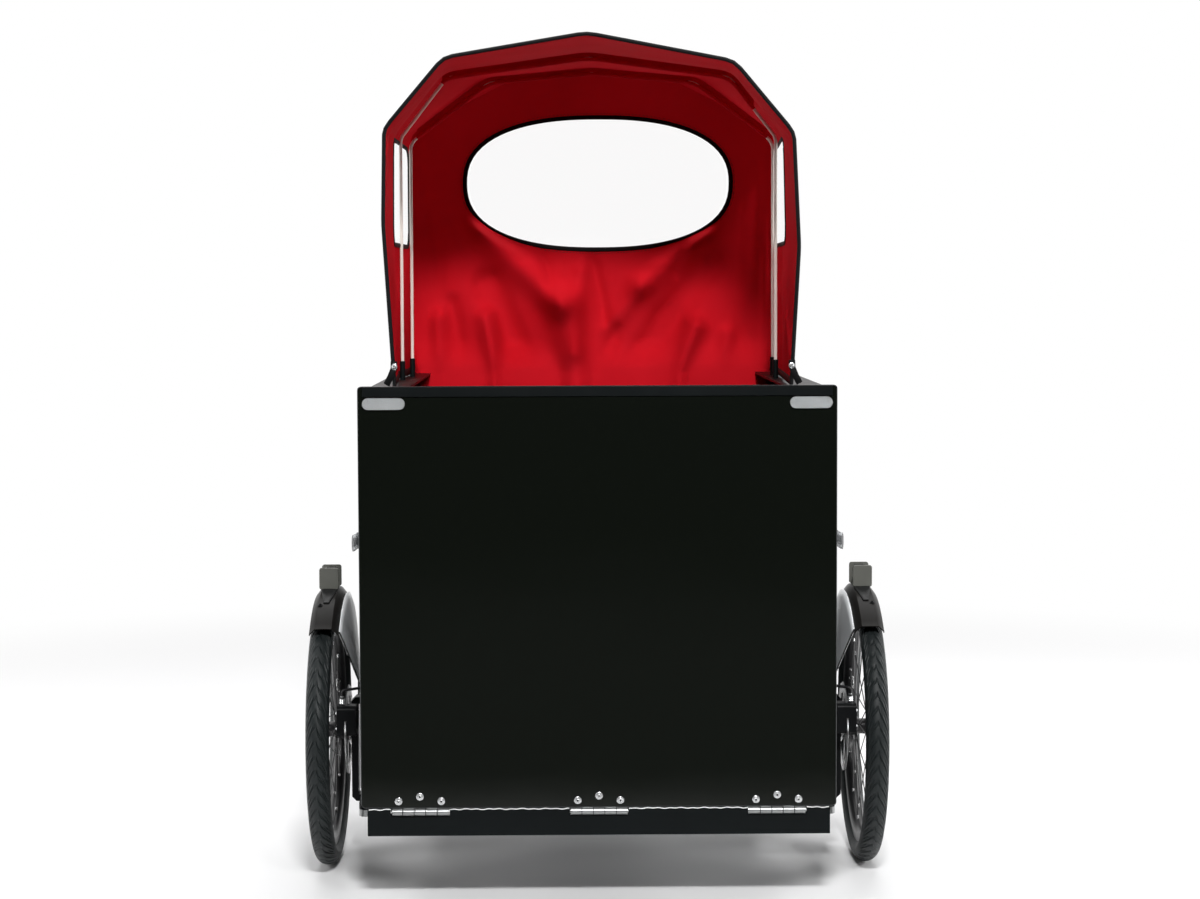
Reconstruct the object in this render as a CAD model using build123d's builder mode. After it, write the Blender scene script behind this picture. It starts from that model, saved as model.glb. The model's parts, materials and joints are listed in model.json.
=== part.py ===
from build123d import *
import os
from math import asin, atan2, cos, pi, radians, sin, sqrt

os.makedirs("parts", exist_ok=True)

# Electric three-wheeled cargo cycle: load box between two steered front wheels,
# rider behind it, one driven rear wheel.
# Millimetres. Origin on the ground under the middle of the outer box.
# -Y is forward, +X is the rider's left, +Z is up.

# Overall size
overall_length = 2030.0
overall_width = 1010.0
front_y = -overall_length / 2
rear_y = overall_length / 2

# Front wheels, 20 inch, and how they stand
front_tyre_radius = 243.0
front_tyre_width = 40.0
front_tyre_height = 38.0
front_rim_depth = 18.0
front_rim_width = 25.0
front_spokes = 28
hub_half_width = 18.0
hub_flange_radius = 24.0
hub_barrel_radius = 14.0
wheel_to_box = 101.0
kingpin_offset = 71.0

# Rear wheel, 26 inch, with the motor in its hub
rear_tyre_radius = 326.0
rear_tyre_width = 47.0
rear_tyre_height = 45.0
rear_rim_depth = 18.0
rear_rim_width = 29.0
rear_spokes = 36
motor_radius = 104.0
motor_width = 86.0
motor_edge = 12.0
motor_flange_x = 26.0
motor_flange_rise = 10.0

# Wheels in general
spoke_thickness = 2.2
spoke_lead = 38.0
rim_taper = 3.0
seat_gap = 0.3

# Load box: its length and width follow the cycle's
box_length = 0.36946 * overall_length
box_half_width = (overall_width - front_tyre_width) / 2 - wheel_to_box
box_wall = 8.0
floor_bottom_z = 160.0
floor_thickness = 12.0
post_size = 32.0
post_gap = 8.0
rail_width = 66.0
rail_thickness = 4.0

# Front door, hinged along its bottom edge
door_overhang = 14.0
door_width = 2 * (box_half_width + door_overhang)
door_height = 706.0
door_bottom_z = 174.0
door_thickness = 24.0
door_sheet = 3.0
door_frame_bar = 30.0
door_frame_inset = 2.0
door_corner = 5.0
door_gap = 3.0
door_rise = 8.0
rim_height = 17.0
rim_inset = 8.0
rim_proud = 3.0
reflector_length = 70.0
reflector_height = 18.5
reflector_proud = 4.0
reflector_side_inset = 8.0
reflector_drop = 2.5

# Door hinges: five knuckles each
hinge_barrel_radius = 6.0
hinge_pin_radius = 2.5
hinge_length = 96.0
hinge_knuckles = 5
hinge_drop = 7.0
hinge_leaf = 1.8
hinge_leaf_gap = 1.2
hinge_pitch = 0.3744 * door_width
knuckle_gap = 0.4
trough_gap = 1.0

# Draw latches beside the door
latch_z = 628.0
latch_plate = (48.0, 52.0, 3.0)
latch_body = (36.0, 24.0, 17.0)
latch_lever = (46.0, 44.0, 6.0)

# Wheel wells in the side walls
well_depth = 38.0
well_clearance = 0.056 * box_length
well_corner = 120.0

# Front sill under the door
sill_overhang = 4.0
sill_height = 44.0
sill_gap = 4.0
sill_setback = 2.0
sill_thickness = 22.0
sill_step = 4.0

# Hood and its hoops
hood_sheet = 3.0
hood_front_behind_door = 60.0
hood_rear_inset = 10.0
hood_lean = 7.0
hollow_overrun = 4.0
hollow_drop = 20.0
# Each cross-section: place as a share of the box length or None for the front or rear edge,
# sideways shift, half width at the foot as an inset from the box side, shoulder inset and height,
# corner half width as a share of the box's and height, peak height; heights stand on the rail
hood_table = (
    ("front", -10.0, 46.0, 39.0, 436.0, 0.641, 551.0, 591.0),
    ("hoop", -10.0, 31.0, 31.0, 442.0, 0.685, 556.0, 594.0),
    ("rear", 0.0, 30.0, 30.0, 475.0, 0.370, 576.0, 576.0),
)
hoop_radius = 3.0
hoop_inset = 44.0
hoop_bend = 28.0
# Each hoop: place as a share of the box length, sideways shift, shoulder height,
# corner half width as a share of the box's, corner height, peak height
hoop_table = (
    (0.5107, -10.0, 437.0, 0.667, 545.0, 580.0),
    (0.7240, -2.0, 438.0, 0.500, 549.0, 566.0),
)
socket_radius = 5.0
socket_height = 34.0
socket_floor = 6.0
rear_window_share = 0.669
rear_window_half_height = 124.0
rear_window_shift = 12.0
rear_window_rise = 367.0
side_window_share = 0.48
side_window_height = 185.0
side_window_rise = 336.0
side_window_front_share = 0.267
side_window_corner = 40.0
window_film = 1.0

# Chassis under the box
chassis_rail = 30.0
chassis_rail_x = 0.612 * box_half_width
chassis_bottom_z = 135.0
chassis_overhang = 10.0
axle_beam_width = 36.0
neck_half_width = 40.0
gusset_thickness = 8.0
gusset_foot_rise = 30.0
gusset_top_drop = 12.0
gusset_wall_gap = 6.0
kingpin_tube_radius = 16.0
kingpin_tube_height = 155.0
kingpin_radius = 8.0
bearing_gap = 2.0

# Knuckles and steering links
lug_thickness = 12.0
lug_radius = 17.0
web_thickness = 12.0
knuckle_bevel = 8.0
stub_axle_radius = 7.0
stub_axle_reach = 20.0
axle_boss_radius = 15.0
arm_length = 80.0
arm_root_radius = 15.0
arm_eye_radius = 12.0
arm_thickness = 10.0
link_radius = 5.0
link_eye_radius = 12.0
link_eye_height = 12.0
link_play = 1.0
stud_radius = 5.0
fit_gap = 0.4

# Brakes
rotor_radius = 80.0
rotor_thickness = 2.0
rotor_inboard = 35.0
rotor_windows = 6
rotor_carrier_radius = 18.0
caliper_gap = 1.5
caliper_length = 40.0
caliper_height = 54.0
caliper_ahead = 58.0
caliper_rise = 27.0
caliper_inboard = 19.0
caliper_outboard = 15.0
caliper_corner = 8.0
cable_radius = 2.5
cable_barrel_radius = 4.0
cable_barrel_length = 14.0
cable_eye_radius = 6.0
cable_eye_rise = 38.0
cable_eye_height = 8.0
cable_entry_rise = 90.0
cable_detour = 42.0

# Front mudguards, their brackets and marker lamps
fender_gap = 17.0
fender_sheet = 2.0
fender_half_width = 26.0
fender_flat_share = 0.55
fender_drop = 16.0
fender_inboard = 6.0
fender_front_angle = 41.0
fender_rear_angle = 30.0
bracket_sheet = 2.5
bracket_half = 12.0
bracket_strap = 40.0
# Angles above the front horizontal at which the bracket's facets meet the mudguard's inner edge
bracket_angles = (41.0, 60.0, 79.0, 98.0, 117.0, 136.0, 150.0)
lamp_width = 31.0
lamp_height = 38.0
lamp_depth = 56.0
lamp_plate = 5.0
lamp_plate_rise = 9.0
lamp_corner = 6.0
lamp_body_width = 20.0

# Steering column and handlebar
column_behind_box = 82.0
column_radius = 14.0
head_tube_radius = 22.0
head_tube_bottom_z = 142.0
head_tube_height = 288.0
column_height = 555.0
stem_radius = 17.0
stem_clamp_radius = 19.0
stem_clamp_half = 24.0
bar_radius = 11.0
bar_half_width = 300.0
bar_rise = 30.0
bar_reach = 170.0
bar_bend = 40.0
grip_radius = 16.0
grip_length = 105.0
grip_end = 6.0
lever_clamp_radius = 17.0
lever_length = 100.0
lever_radius = 4.0

# Rider's half of the frame
chainstay_run = 454.0
bracket_z = 285.0
bracket_radius = 20.0
bracket_half_width = 36.0
main_tube_radius = 25.0
main_tube_drop = 70.0
stay_radius = 10.0
seat_stay_radius = 8.0
seat_tube_radius = 17.0
seat_tube_back = 110.0
seat_tube_rise = 405.0
cluster_share = 0.86
cluster_half = 42.0
seat_post_radius = 13.6
seat_post_length = 300.0
seat_post_depth = 130.0
seat_clamp = (26.0, 34.0, 20.0)
dropout_x = 66.0
dropout_plate = 6.0
axle_nut_radius = 11.0
axle_nut_length = 8.0

# Saddle: each section's place behind the post, half width, height, drop of its top
saddle_table = (
    (-150.0, 17.0, 30.0, 8.0),
    (-60.0, 34.0, 40.0, 5.0),
    (40.0, 86.0, 50.0, 4.0),
    (105.0, 98.0, 56.0, 0.0),
    (128.0, 80.0, 40.0, 6.0),
)
saddle_height = 53.5
saddle_corner = 0.42

# Rear mudguard, carrier, battery and lamp
rear_fender_gap = 13.0
rear_fender_half_width = 29.0
rear_fender_front_angle = 18.0
rear_fender_rear_angle = -12.0
fender_stay_radius = 2.5
carrier_rise = 70.0
carrier_half_width = 68.0
carrier_front = 250.0
carrier_rear = 150.0
carrier_bars = 5
carrier_bar_radius = 5.0
carrier_rail_radius = 6.0
battery_height = 58.0
battery_half_width = 62.0
battery_corner = 12.0
lamp_box = (80.0, 24.7, 46.0)
lamp_box_corner = 10.0

# Drive
crank_length = 170.0
crank_axle_radius = 9.0
crank_x = 72.0
crank_thickness = 12.0
crank_root_radius = 18.0
crank_eye_radius = 12.0
pedal_size = (90.0, 90.0, 26.0)
pedal_axle_radius = 7.0
pedal_standoff = 12.0
chain_x = -50.0
chain_pitch = 12.7
chainwheel_teeth = 42
chainwheel_windows = 5
chainwheel_thickness = 4.0
sprocket_teeth = 18
chain_height = 8.4
chain_width = 8.0
guard_gap = 2.0
guard_thickness = 2.0
guard_rise = 22.0
guard_depth = 34.0

# Places that follow from the sizes above
sides = (("left", 1), ("right", -1))
door_face_y = front_y + hinge_barrel_radius
door_back_y = door_face_y + door_thickness
door_top_z = door_bottom_z + door_height
hinge_z = door_bottom_z - hinge_drop
hinge_centres = (-hinge_pitch, 0.0, hinge_pitch)
box_front_y = door_back_y + door_gap
box_rear_y = box_front_y + box_length
box_inner_x = box_half_width - box_wall
box_top_z = door_top_z - door_rise
floor_top_z = floor_bottom_z + floor_thickness
sill_half = box_half_width + sill_overhang
sill_top_z = door_bottom_z - sill_gap
sill_bottom_z = sill_top_z - sill_height
front_axle_z = front_tyre_radius
front_wheel_x = (overall_width - front_tyre_width) / 2
kingpin_x = front_wheel_x - kingpin_offset
kingpin_tube_top_z = chassis_bottom_z + kingpin_tube_height
fender_x = front_wheel_x - fender_inboard
fender_radius = front_tyre_radius + fender_gap
well_x = box_half_width - well_depth
well_half_length = front_tyre_radius + well_clearance
well_top_z = front_axle_z + fender_radius + well_clearance
front_axle_y = box_front_y + post_size + post_gap + box_wall + well_half_length
rear_axle_y = rear_y - rear_tyre_radius - rear_fender_gap - fender_sheet
rear_axle_z = rear_tyre_radius
rear_axle = (0, rear_axle_y, rear_axle_z)
rear_fender_radius = rear_tyre_radius + rear_fender_gap + fender_sheet
column_y = box_rear_y + column_behind_box
head_tube_top_z = head_tube_bottom_z + head_tube_height
column_top_z = head_tube_top_z + column_height
bar_z = column_top_z + bar_rise
dropout_outer = dropout_x + dropout_plate / 2
bracket_y = rear_axle_y - chainstay_run
bracket = Vector(0, bracket_y, bracket_z)
seat_top = bracket + Vector(0, seat_tube_back, seat_tube_rise)
seat_axis = (seat_top - bracket).normalized()
cluster = bracket + (seat_top - bracket) * cluster_share
hood_bottom_z = box_top_z + rail_thickness
hood_front_y = door_face_y + hood_front_behind_door
hood_rear_y = box_rear_y - hood_rear_inset
rotor_x = front_wheel_x - rotor_inboard
upper_lug_z = kingpin_tube_top_z + bearing_gap
upper_lug_top_z = upper_lug_z + lug_thickness
lower_lug_z = chassis_bottom_z - 9 - lug_thickness
link_eye_z = lower_lug_z - link_eye_height - link_play
link_mid_z = link_eye_z + link_eye_height / 2
web_in_x = kingpin_x + kingpin_tube_radius + bearing_gap
web_out_x = web_in_x + web_thickness
cable_eye_z = upper_lug_top_z + cable_eye_rise
wheel_pitch_radius = chain_pitch / (2 * sin(pi / chainwheel_teeth))
rear_pitch_radius = chain_pitch / (2 * sin(pi / sprocket_teeth))


def block(low, high, mode=Mode.ADD):
    """A square bar or plate between two opposite corners."""
    size = [b - a for a, b in zip(low, high)]
    with Locations(tuple((a + b) / 2 for a, b in zip(low, high))):
        Box(*size, mode=mode)


def tube(start, end, radius, mode=Mode.ADD):
    """A straight round bar from start to end."""
    run = Vector(*end) - Vector(*start)
    with BuildSketch(Plane(origin=start, z_dir=run)) as section:
        Circle(radius)
    extrude(section.sketch, amount=run.length, mode=mode)


def mirrored_block(side, low, high, mode=Mode.ADD):
    """A block given for the +X side and placed on the side asked for."""
    x_low, x_high = sorted((side * low[0], side * high[0]))
    block((x_low, low[1], low[2]), (x_high, high[1], high[2]), mode)


def side_plane(x):
    """A plane across X: its own x is Y and its own y is Z."""
    return Plane.YZ.offset(x)


def front_plane(y):
    """A plane across Y: its own x is X and its own y is Z."""
    return Plane.XZ.offset(-y)


def wheel_plane(x, y, z):
    """A plane through a wheel's axle: its own x is X and its own y is the radius."""
    return Plane(origin=(x, y, z), x_dir=(1, 0, 0), z_dir=(0, -1, 0))


def arc_plane(centre, angle):
    """A wheel plane turned to an angle above the front horizontal, to revolve a mudguard from."""
    return Plane(origin=centre, x_dir=(1, 0, 0), z_dir=(0, -sin(radians(angle)), -cos(radians(angle))))


def plate_profile(plane, points, amount):
    """A plate of the outline through points, given in the plane's own x and y."""
    with BuildSketch(plane) as section:
        with BuildLine() as outline:
            Polyline(*points, close=True)
        make_face(outline.edges())
    extrude(section.sketch, amount=amount)


def tapered_arm(plane, root, root_radius, tip, tip_radius, amount):
    """A flat arm between two round ends of different size."""
    with BuildSketch(plane) as section:
        with Locations(root):
            Circle(root_radius)
        with Locations(tip):
            Circle(tip_radius)
        make_hull(section.sketch_local.edges())
    extrude(section.sketch, amount=amount)


def bent_rod(points, radius, bend):
    """A bent round bar along a list of points."""
    with BuildLine() as path:
        FilletPolyline(*points, radius=bend)
    with BuildSketch(Plane(origin=path.line @ 0, z_dir=path.line % 0)) as section:
        Circle(radius)
    sweep(section.sketch, path=path.wires()[0])


def save(builder, label):
    builder.part.label = label
    export_step(builder.part, f"parts/{label}.step")


def fender_section(half, radius, flat_share):
    """Outline of a mudguard's sheet: flat crown, bevelled shoulders; x across, y the radius."""
    flat = half * flat_share
    return (
        (-half, radius - fender_drop), (-flat, radius), (flat, radius), (half, radius - fender_drop),
        (half - fender_sheet, radius - fender_drop), (flat - fender_sheet / 2, radius - fender_sheet),
        (fender_sheet / 2 - flat, radius - fender_sheet), (fender_sheet - half, radius - fender_drop),
    )


def make_tyre(label, centre, radius, width, height):
    """A tyre of eight flats round its section: crown, shoulders, walls and bead."""
    crown = 0.2 * width
    with BuildPart() as tyre:
        with BuildSketch(wheel_plane(*centre)):
            with BuildLine():
                Polyline(
                    (-crown, radius), (crown, radius),
                    (0.45 * width, radius - 0.2 * height), (0.5 * width, radius - 0.5 * height),
                    (0.3 * width, radius - height), (-0.3 * width, radius - height),
                    (-0.5 * width, radius - 0.5 * height), (-0.45 * width, radius - 0.2 * height),
                    close=True,
                )
            make_face()
        revolve(axis=Axis(centre, (1, 0, 0)))
    save(tyre, label)


def rim_section(outer, depth, width):
    """Outline of a rim: broad at the tyre, narrower toward the hub."""
    return (
        (-width / 2, outer), (width / 2, outer),
        (width / 2 - rim_taper, outer - depth), (rim_taper - width / 2, outer - depth),
    )


def spoke_planes(centre, count, hub_radius, flange_x, rim_radius):
    """A start plane for each spoke and the one length of them all."""
    planes = []
    lead = radians(spoke_lead)
    for index in range(count):
        flange = 1 if index % 2 else -1
        twist = lead if index % 4 < 2 else -lead
        angle = 2 * pi * index / count
        start = Vector(
            centre[0] + flange * flange_x,
            centre[1] + hub_radius * cos(angle + twist),
            centre[2] + hub_radius * sin(angle + twist),
        )
        end = Vector(
            centre[0] + flange * rim_taper,
            centre[1] + rim_radius * cos(angle),
            centre[2] + rim_radius * sin(angle),
        )
        planes.append(Plane(origin=start, x_dir=(1, 0, 0), z_dir=end - start))
        length = (end - start).length
    return planes, length


# Frame: ladder under the box, kingpin tubes, head tube and the rider's half
with BuildPart() as frame:
    for side in (1, -1):
        mirrored_block(
            side,
            (chassis_rail_x - chassis_rail / 2, box_front_y, chassis_bottom_z),
            (chassis_rail_x + chassis_rail / 2, box_rear_y + chassis_overhang, floor_bottom_z),
        )
        tube(
            (side * kingpin_x, front_axle_y, chassis_bottom_z),
            (side * kingpin_x, front_axle_y, kingpin_tube_top_z),
            kingpin_tube_radius,
        )
        gusset_in_x = well_x + gusset_wall_gap
        gusset_top_z = kingpin_tube_top_z - gusset_top_drop
        plate_profile(
            front_plane(front_axle_y + gusset_thickness / 2),
            (
                (side * gusset_in_x, floor_bottom_z), (side * kingpin_x, floor_bottom_z),
                (side * kingpin_x, gusset_top_z),
                (side * (kingpin_x - kingpin_tube_radius - fit_gap), gusset_top_z),
                (side * gusset_in_x, floor_bottom_z + gusset_foot_rise),
            ),
            gusset_thickness,
        )
    block(
        (-kingpin_x, front_axle_y - axle_beam_width / 2, chassis_bottom_z),
        (kingpin_x, front_axle_y + axle_beam_width / 2, floor_bottom_z),
    )
    for beam_y in (box_front_y + chassis_rail / 2, box_rear_y - chassis_rail / 2):
        block(
            (-chassis_rail_x, beam_y - chassis_rail / 2, chassis_bottom_z),
            (chassis_rail_x, beam_y + chassis_rail / 2, floor_bottom_z),
        )
    block((-neck_half_width, box_rear_y - chassis_rail / 2, chassis_bottom_z),
          (neck_half_width, column_y - column_radius / 2, floor_bottom_z))
    tube((0, column_y, head_tube_bottom_z), (0, column_y, head_tube_top_z), head_tube_radius)
    tube((0, column_y, head_tube_top_z - main_tube_drop), tuple(bracket), main_tube_radius)
    tube(tuple(bracket), tuple(seat_top), seat_tube_radius)
    tube((-cluster_half, cluster.Y, cluster.Z), (cluster_half, cluster.Y, cluster.Z), seat_stay_radius + 1)
    tube((-bracket_half_width, bracket_y, bracket_z), (bracket_half_width, bracket_y, bracket_z),
         bracket_radius)
    for side in (1, -1):
        tube((side * 2.2 * neck_half_width, box_rear_y, chassis_bottom_z + stay_radius + 2),
             (side * column_radius, bracket_y - stay_radius, bracket_z), stay_radius + 2)
        tube((side * (bracket_half_width - stay_radius / 2), bracket_y + stay_radius, bracket_z),
             (side * dropout_x, rear_axle_y - stay_radius, rear_axle_z), stay_radius)
        tube((side * (cluster_half - seat_stay_radius), cluster.Y, cluster.Z),
             (side * dropout_x, rear_axle_y, rear_axle_z + 2 * stay_radius), seat_stay_radius)
        tapered_arm(
            side_plane(side * dropout_x - dropout_plate / 2),
            (rear_axle_y, rear_axle_z), 2.2 * stay_radius, (rear_axle_y + 2, rear_axle_z + 2 * stay_radius),
            1.4 * stay_radius, dropout_plate,
        )
        tube(
            (side * (dropout_x - 2 * stay_radius), rear_axle_y, rear_axle_z),
            (side * (dropout_x + 2 * stay_radius), rear_axle_y, rear_axle_z),
            stub_axle_radius + fit_gap,
            mode=Mode.SUBTRACT,
        )
    for side in (1, -1):
        tube((side * dropout_outer, rear_axle_y, rear_axle_z),
             (side * (dropout_outer + axle_nut_length + 3), rear_axle_y, rear_axle_z),
             axle_nut_radius + fit_gap, mode=Mode.SUBTRACT)
    tube((-bracket_half_width - 1, bracket_y, bracket_z), (bracket_half_width + 1, bracket_y, bracket_z),
         crank_axle_radius + fit_gap, mode=Mode.SUBTRACT)
    bore_start = seat_top - seat_axis * seat_post_depth
    tube(tuple(bore_start), tuple(seat_top + seat_axis * seat_tube_radius),
         seat_post_radius + fit_gap, mode=Mode.SUBTRACT)
    tube((0, column_y, chassis_bottom_z - 1), (0, column_y, head_tube_top_z + 1),
         column_radius + fit_gap, mode=Mode.SUBTRACT)
    for side in (1, -1):
        tube(
            (side * kingpin_x, front_axle_y, chassis_bottom_z - 1),
            (side * kingpin_x, front_axle_y, kingpin_tube_top_z + 1),
            kingpin_radius + fit_gap,
            mode=Mode.SUBTRACT,
        )
save(frame, "frame")


# Load box floor, notched round the wheel wells and the front posts
with BuildPart() as box_floor:
    block((-box_inner_x, box_front_y, floor_bottom_z), (box_inner_x, box_rear_y - box_wall, floor_top_z))
    for side in (1, -1):
        mirrored_block(
            side,
            (well_x - box_wall, front_axle_y - well_half_length - box_wall, floor_bottom_z - 1),
            (box_half_width, front_axle_y + well_half_length + box_wall, floor_top_z + 1),
            mode=Mode.SUBTRACT,
        )
        mirrored_block(
            side,
            (box_inner_x - post_size - seat_gap, box_front_y - 1, floor_bottom_z - 1),
            (box_half_width, box_front_y + post_size + seat_gap, floor_top_z + 1),
            mode=Mode.SUBTRACT,
        )
save(box_floor, "box_floor")


def well_outline(grow):
    """The arch of a wheel well, grown by a wall's thickness."""
    half = well_half_length + grow
    top = well_top_z + grow
    with BuildLine() as arch:
        FilletPolyline(
            (front_axle_y - half, floor_bottom_z), (front_axle_y - half, top),
            (front_axle_y + half, top), (front_axle_y + half, floor_bottom_z),
            radius=well_corner + grow,
        )
        Line((front_axle_y + half, floor_bottom_z), (front_axle_y - half, floor_bottom_z))
    make_face(arch.edges())


# Side walls with their wheel wells
for side_name, side in sides:
    with BuildPart() as box_side:
        mirrored_block(
            side,
            (box_inner_x, box_front_y, floor_bottom_z),
            (box_half_width, box_rear_y, box_top_z),
        )
        with BuildSketch(side_plane(side * (well_x - box_wall))):
            well_outline(box_wall)
        extrude(amount=side * (well_depth + box_wall))
        with BuildSketch(side_plane(side * well_x)):
            well_outline(0)
        extrude(amount=side * (well_depth + 1), mode=Mode.SUBTRACT)
    save(box_side, f"box_side_{side_name}")

# Rear wall
with BuildPart() as box_rear:
    block((-box_inner_x, box_rear_y - box_wall, floor_bottom_z), (box_inner_x, box_rear_y, box_top_z))
save(box_rear, "box_rear")

# Posts that the door closes against
with BuildPart() as front_posts:
    for side in (1, -1):
        mirrored_block(
            side,
            (box_inner_x - post_size, box_front_y, floor_bottom_z),
            (box_inner_x, box_front_y + post_size, box_top_z),
        )
save(front_posts, "front_posts")

# Sill under the door, with a trough for each hinge barrel
with BuildPart() as front_sill:
    sill_front_y = door_face_y + sill_setback
    block((-sill_half, sill_front_y, sill_bottom_z), (sill_half, sill_front_y + sill_thickness, sill_top_z))
    block((-sill_half, sill_front_y + sill_thickness, chassis_bottom_z + sill_step),
          (sill_half, box_front_y, sill_top_z - sill_step))
    for centre_x in hinge_centres:
        half = hinge_length / 2 + trough_gap
        tube((centre_x - half, door_face_y, hinge_z), (centre_x + half, door_face_y, hinge_z),
             hinge_barrel_radius + trough_gap, mode=Mode.SUBTRACT)
save(front_sill, "front_sill")


def hinge_leaves(label, own_knuckles, leaf_low_z, bored):
    """One leaf of each door hinge with its own knuckles on the common pin."""
    knuckle = hinge_length / hinge_knuckles
    leaf_front_y = door_face_y + hinge_barrel_radius + hinge_leaf_gap
    with BuildPart() as leaves:
        for centre_x in hinge_centres:
            left_x = centre_x - hinge_length / 2
            block(
                (left_x, leaf_front_y, leaf_low_z),
                (left_x + hinge_length, door_face_y + sill_thickness, leaf_low_z + hinge_leaf),
            )
            for index in own_knuckles:
                x_low = left_x + index * knuckle + knuckle_gap / 2
                x_high = left_x + (index + 1) * knuckle - knuckle_gap / 2
                tube((x_low, door_face_y, hinge_z), (x_high, door_face_y, hinge_z), hinge_barrel_radius)
                block((x_low, door_face_y, leaf_low_z), (x_high, leaf_front_y, leaf_low_z + hinge_leaf))
            if bored:
                tube((left_x - 1, door_face_y, hinge_z), (left_x + hinge_length + 1, door_face_y, hinge_z),
                     hinge_pin_radius + fit_gap, mode=Mode.SUBTRACT)
            else:
                tube((left_x + knuckle_gap, door_face_y, hinge_z),
                     (left_x + hinge_length - knuckle_gap, door_face_y, hinge_z), hinge_pin_radius)
    save(leaves, label)


hinge_leaves("hinge_lower", (0, 2, 4), sill_top_z, False)
hinge_leaves("hinge_upper", (1, 3), door_bottom_z - hinge_leaf, True)

# Door: glossy sheet, frame behind it, cap along the top and two reflectors
door_middle = (0, door_bottom_z + door_height / 2)
with BuildPart() as door_panel:
    with BuildSketch(front_plane(door_face_y + door_sheet)):
        with Locations(door_middle):
            RectangleRounded(door_width, door_height, door_corner)
    extrude(amount=door_sheet)
save(door_panel, "door_panel")

with BuildPart() as door_frame:
    with BuildSketch(front_plane(door_back_y)):
        with Locations(door_middle):
            RectangleRounded(door_width - 2 * door_frame_inset, door_height - fit_gap, door_corner)
            Rectangle(door_width - 2 * door_frame_bar, door_height - 2 * door_frame_bar, mode=Mode.SUBTRACT)
            Rectangle(door_width - door_frame_bar, door_frame_bar)
    extrude(amount=door_thickness - door_sheet)
save(door_frame, "door_frame")

with BuildPart() as door_rim:
    block(
        (-door_width / 2 + rim_inset, door_face_y - rim_proud, door_top_z - rim_height),
        (door_width / 2 - rim_inset, door_face_y, door_top_z),
    )
    front_edges = door_rim.edges().filter_by(Axis.X).group_by(Axis.Y)[0]
    fillet(front_edges, rim_proud * 0.4)
save(door_rim, "door_rim")

with BuildPart() as door_reflectors:
    reflector_x = door_width / 2 - reflector_side_inset - reflector_length / 2
    reflector_z = door_top_z - rim_height - reflector_drop - reflector_height / 2
    with BuildSketch(front_plane(door_face_y)):
        with Locations((reflector_x, reflector_z), (-reflector_x, reflector_z)):
            SlotOverall(reflector_length, reflector_height)
    extrude(amount=reflector_proud)
save(door_reflectors, "door_reflectors")

# Draw latches on the sides of the box front: plate, body and lever, each (along Y, along Z, thick)
with BuildPart() as box_latches:
    for side in (1, -1):
        reach_x = box_half_width
        for length, height, thick in (latch_plate, latch_body, latch_lever):
            start_y = box_front_y + door_gap + latch_plate[0] - length
            if length == latch_lever[0]:
                start_y = door_back_y - latch_lever[0] / 3
            mirrored_block(side, (reach_x, start_y, latch_z - height / 2),
                           (reach_x + thick, start_y + length, latch_z + height / 2))
            reach_x += thick
save(box_latches, "box_latches")

# Top rail round the sides and the back, with a socket for each hoop leg
with BuildPart() as top_rail:
    plate_profile(
        Plane.XY.offset(box_top_z),
        (
            (-box_half_width, box_front_y), (-box_half_width, box_rear_y),
            (box_half_width, box_rear_y), (box_half_width, box_front_y),
            (box_half_width - rail_width, box_front_y),
            (box_half_width - rail_width, box_rear_y - rail_width / 2),
            (rail_width - box_half_width, box_rear_y - rail_width / 2),
            (rail_width - box_half_width, box_front_y),
        ),
        rail_thickness,
    )
    for place, shift, *heights in hoop_table:
        hoop_y = box_front_y + place * box_length
        for side in (1, -1):
            leg = (shift + side * (box_half_width - hoop_inset), hoop_y)
            tube((*leg, hood_bottom_z), (*leg, hood_bottom_z + socket_height), socket_radius)
            tube((*leg, hood_bottom_z + socket_floor), (*leg, hood_bottom_z + socket_height + 1),
                 hoop_radius + fit_gap, mode=Mode.SUBTRACT)
save(top_rail, "top_rail")

# Two hoops that carry the hood
with BuildPart() as hood_hoops:
    foot_z = hood_bottom_z + socket_floor + seat_gap
    for place, shift, shoulder_height, corner_share, corner_height, peak_height in hoop_table:
        hoop_y = box_front_y + place * box_length
        leg_x = box_half_width - hoop_inset
        corner_x = corner_share * box_half_width
        with BuildLine() as hoop_path:
            FilletPolyline(
                (shift - leg_x, hoop_y, foot_z),
                (shift - leg_x, hoop_y, hood_bottom_z + shoulder_height),
                (shift - corner_x, hoop_y, hood_bottom_z + corner_height),
                (shift, hoop_y, hood_bottom_z + peak_height),
                (shift + corner_x, hoop_y, hood_bottom_z + corner_height),
                (shift + leg_x, hoop_y, hood_bottom_z + shoulder_height),
                (shift + leg_x, hoop_y, foot_z),
                radius=hoop_bend,
            )
        with BuildSketch(Plane.XY.offset(foot_z)):
            with Locations((shift - leg_x, hoop_y)):
                RegularPolygon(hoop_radius, 8)
        sweep(path=hoop_path.wires()[0])
save(hood_hoops, "hood_hoops")

# Hood: a cloth shell over the hoops, open to the front
hood_places = {
    "front": hood_front_y,
    "hoop": box_front_y + hoop_table[0][0] * box_length,
    "rear": hood_rear_y,
}


def hood_plane(edge, ahead):
    """The plane of a hood cross-section; the rear one leans forward with the back panel."""
    origin = (0, hood_places[edge] - ahead, hood_bottom_z)
    lean = radians(hood_lean) if edge == "rear" else 0
    return Plane(origin=origin, x_dir=(1, 0, 0), z_dir=(0, -cos(lean), -sin(lean)))


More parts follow.
